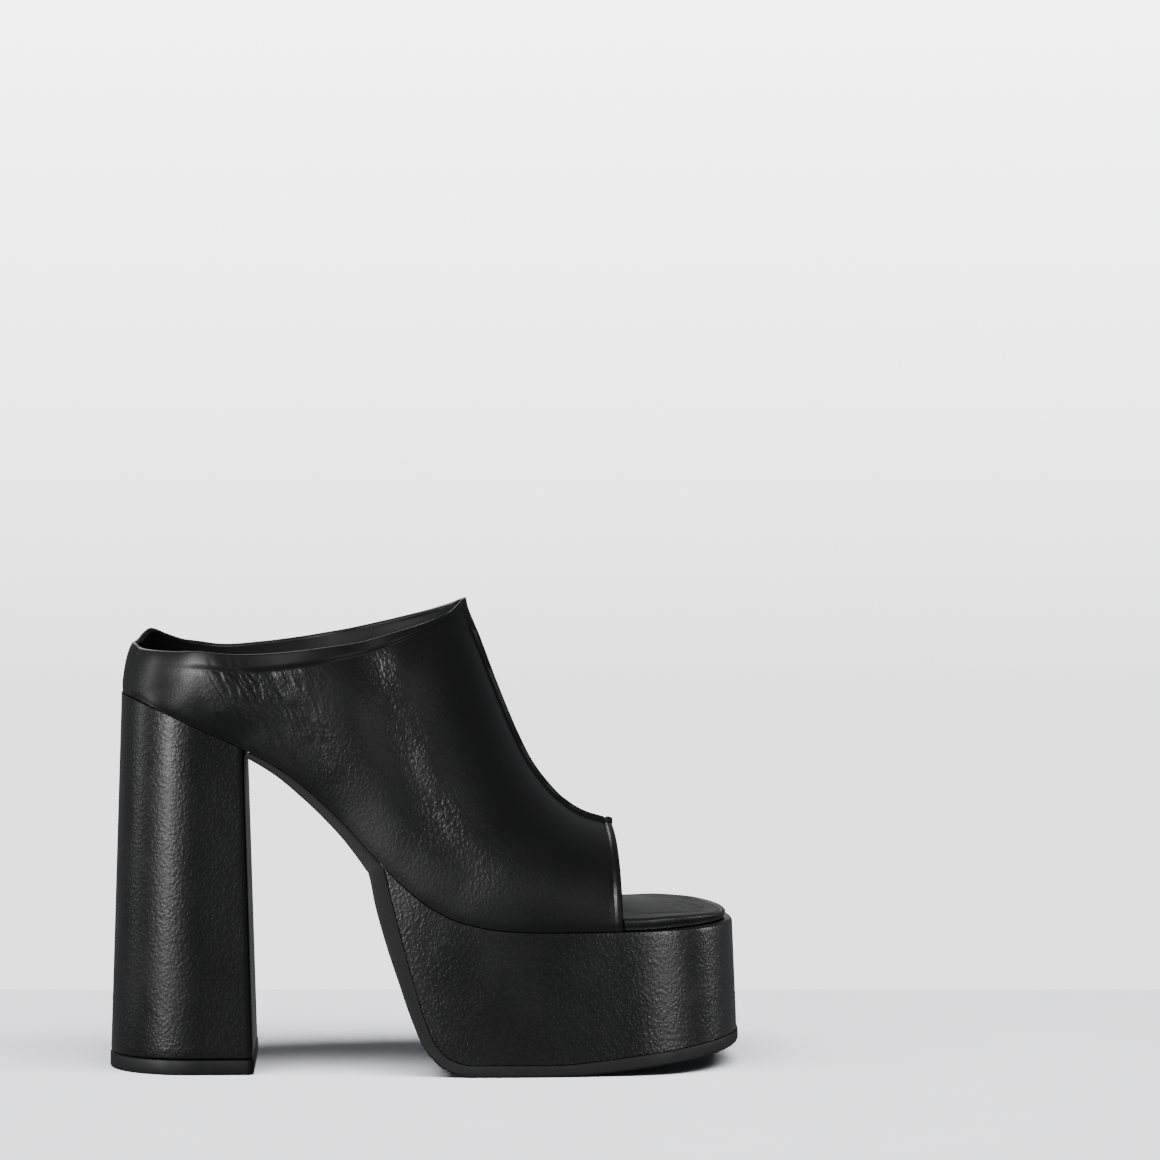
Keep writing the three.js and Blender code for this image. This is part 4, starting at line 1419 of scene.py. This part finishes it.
@dataclass
class Studio:
    """Pale floor and paper, soft lights, and a camera at the photograph's angle to the shoe."""

    picture: float = 1160.0  # pixels along a side of the photograph
    pixel: float = 0.371  # millimetres a pixel at the shoe's middle plane
    distance: float = 1200.0
    eye_height: float = 185.6
    horizon: float = 560.0  # the photograph's row that lies level with the eye
    aim_x: float = 57.2  # place of the photograph's middle column
    yaw: float = 4.2  # degrees that the heel is turned towards the camera
    sensor: float = 36.0
    paper_start: float = 196.0  # millimetres behind the shoe's middle
    paper_reach: float = 3.2
    paper_height: float = 1.0
    ambient: float = 0.19
    lamps: tuple[Lamp, ...] = (
        Lamp("side", (-1.06, -1.14, 0.5), (-0.09, 0, 0.1), (0.24, 1.0), 19, Lit.COVERS),
        Lamp("upper side", (-0.94, -1.2, 0.6), (-0.06, 0, 0.12), (0.3, 0.7), 9, Lit.UPPER),
        Lamp("quarter", (-0.66, -1.15, 0.84), (-0.07, 0, 0.13), (0.34, 0.34), 9, Lit.UPPER),
        Lamp("fill", (0.7, -1.2, 0.35), (0.0, 0, 0.12), (0.6, 0.6), 1.1, Lit.UPPER),
        Lamp("left rim", (-1.6, 0.02, 0.5), (-0.1, 0, 0.1), (0.3, 0.9), 4),
        Lamp("front", (0.88, -1.15, 0.22), (0.09, 0, 0.04), (0.42, 0.42), 7, Lit.FOREFOOT),
        Lamp("low", (-0.95, -1.15, 0.1), (0.0, 0, 0.03), (0.2, 0.25), 3, Lit.FOREFOOT),
        Lamp("toe", (0.12, 0.185, 0.088), (0.1, 0, 0.055), (0.09, 0.03), 0.004, Lit.FOREFOOT),
        Lamp("right rim", (1.6, 0.05, 0.35), (0.1, 0, 0.05), (0.25, 0.6), 6, Lit.FOREFOOT),
        Lamp("inner side", (-0.45, 1.3, 1.0), (0.0, 0, 0.1), (0.8, 0.8), 5, Lit.SHOE),
    )
    floor_lamps: tuple[Lamp, ...] = (
        Lamp("wash", (0.0, -0.9, 2.2), (0, 0.2, 0.5), (3.2, 1.2), 165),
        Lamp("near wash", (0.0, -0.25, 1.0), (0, 0.2, 0.45), (2.5, 0.4), 88),
    )

    def camera(self) -> None:
        """Sets the camera: its lens from the scale and the distance, its pitch from the horizon."""
        focal = self.distance / self.pixel
        data = bpy.data.cameras.new("photo_camera")
        data.sensor_width = self.sensor
        data.lens = focal / self.picture * self.sensor
        data.clip_start, data.clip_end = 0.05, 20.0
        camera = bpy.data.objects.new("photo_camera", data)
        bpy.context.scene.collection.objects.link(camera)
        pitch = math.atan((self.picture / 2 - self.horizon) / focal)
        eye = Vector((self.aim_x, -self.distance, self.eye_height)) * MM
        turn = Matrix.Rotation(-math.radians(self.yaw), 4, "Z")
        look = Matrix.Rotation(math.pi / 2 - pitch, 4, "X")
        camera.matrix_world = turn @ Matrix.Translation(eye) @ look
        bpy.context.scene.camera = camera

    def backdrop(self) -> bpy.types.Collection:
        """Makes the floor and the paper all round it, which the leather doesn't mirror.

        The paper's wall stands farther out than any camera, so the shoe is seen from all sides.

        Returns:
            The collection that holds the floor.
        """
        floor_paint = Plain("Floor paint", (0.36, 0.36, 0.38)).material()
        # The paper glows, no lamp: painted light, dim at its foot and bright at its top.
        paper = Glow("Paper", 0.4, 0.95).material()
        turn = Matrix.Rotation(-math.radians(self.yaw), 3, "Z")
        reach, back = self.paper_reach, self.paper_start * MM
        floor = [(-reach, -reach, 0), (reach, -reach, 0), (reach, back, 0), (-reach, back, 0)]
        far = [(-reach, back, 0), (reach, back, 0), (reach, reach, 0), (-reach, reach, 0)]
        foot = [(-reach, -reach), (reach, -reach), (reach, reach), (-reach, reach)]
        wall = [(x, y, z) for z in (0, self.paper_height) for x, y in foot]
        sides = np.array([[i, (i + 1) % 4, (i + 1) % 4 + 4, i + 4] for i in range(4)])
        lit_floor = bpy.data.collections.new("lit_floor")
        for name, corners, faces, paint in (
            ("floor", floor, np.array([[0, 1, 2, 3]]), floor_paint),
            ("far_floor", far, np.array([[0, 1, 2, 3]]), paper),
            ("wall", wall, sides[:, ::-1], paper),
        ):
            points = np.array([turn @ Vector(corner) for corner in corners])
            rise = np.array([corner[2] / self.paper_height for corner in corners])
            sheet = make_piece(name, points, [faces], traits={"rise": rise})
            sheet.data.materials.append(paint)
            sheet.visible_glossy = sheet.visible_diffuse = sheet.visible_shadow = False
            if name == "floor":
                lit_floor.objects.link(sheet)
        return lit_floor

    def light(self, lamp: Lamp) -> bpy.types.Object:
        """Adds one soft rectangular light.

        Args:
            lamp: The light's place, size and power.

        Returns:
            The light.
        """
        data = bpy.data.lights.new(lamp.name, "AREA")
        data.shape = "RECTANGLE"
        data.size, data.size_y = lamp.size
        data.energy = lamp.power
        light = bpy.data.objects.new(lamp.name, data)
        bpy.context.scene.collection.objects.link(light)
        light.visible_camera = False
        light.location = lamp.place
        way = Vector(lamp.aim) - Vector(lamp.place)
        light.rotation_euler = way.to_track_quat("-Z", "Y").to_euler()
        return light

    def build(self, pieces: dict[str, bpy.types.Object]) -> None:
        """Builds the studio.

        Args:
            pieces: The shoe's pieces by node, for the lamps.
        """
        self.camera()
        floor = self.backdrop()
        groups = {}
        for lit in Lit:
            groups[lit] = bpy.data.collections.new(lit.name.lower())
            for node in lit.value:
                groups[lit].objects.link(pieces[node])
        for lamp in self.lamps:
            light = self.light(lamp)
            if lamp.lit:
                light.light_linking.receiver_collection = groups[lamp.lit]
        for lamp in self.floor_lamps:
            self.light(lamp).light_linking.receiver_collection = floor
        world = bpy.data.worlds.new("soft_world")
        world.use_nodes = True
        background = world.node_tree.nodes["Background"]
        background.inputs["Color"].default_value = (0.95, 0.96, 1, 1)
        background.inputs["Strength"].default_value = self.ambient
        bpy.context.scene.world = world


def main() -> None:
    logging.basicConfig(level=logging.INFO, format="%(name)s %(message)s")
    last = Last()
    platform = Platform(last)
    heel = HeelBlock(last)
    pieces = {
        "upper": Upper(last).build(),
        "insole": Insole(last).build(),
        "platform": platform.build(),
        "outsole": Outsole(last, platform).build(),
        "heel_block": heel.build(),
        "heel_top_lift": TopLift(last, heel).build(),
    }
    Studio().build(pieces)


if __name__ == "__main__":
    main()
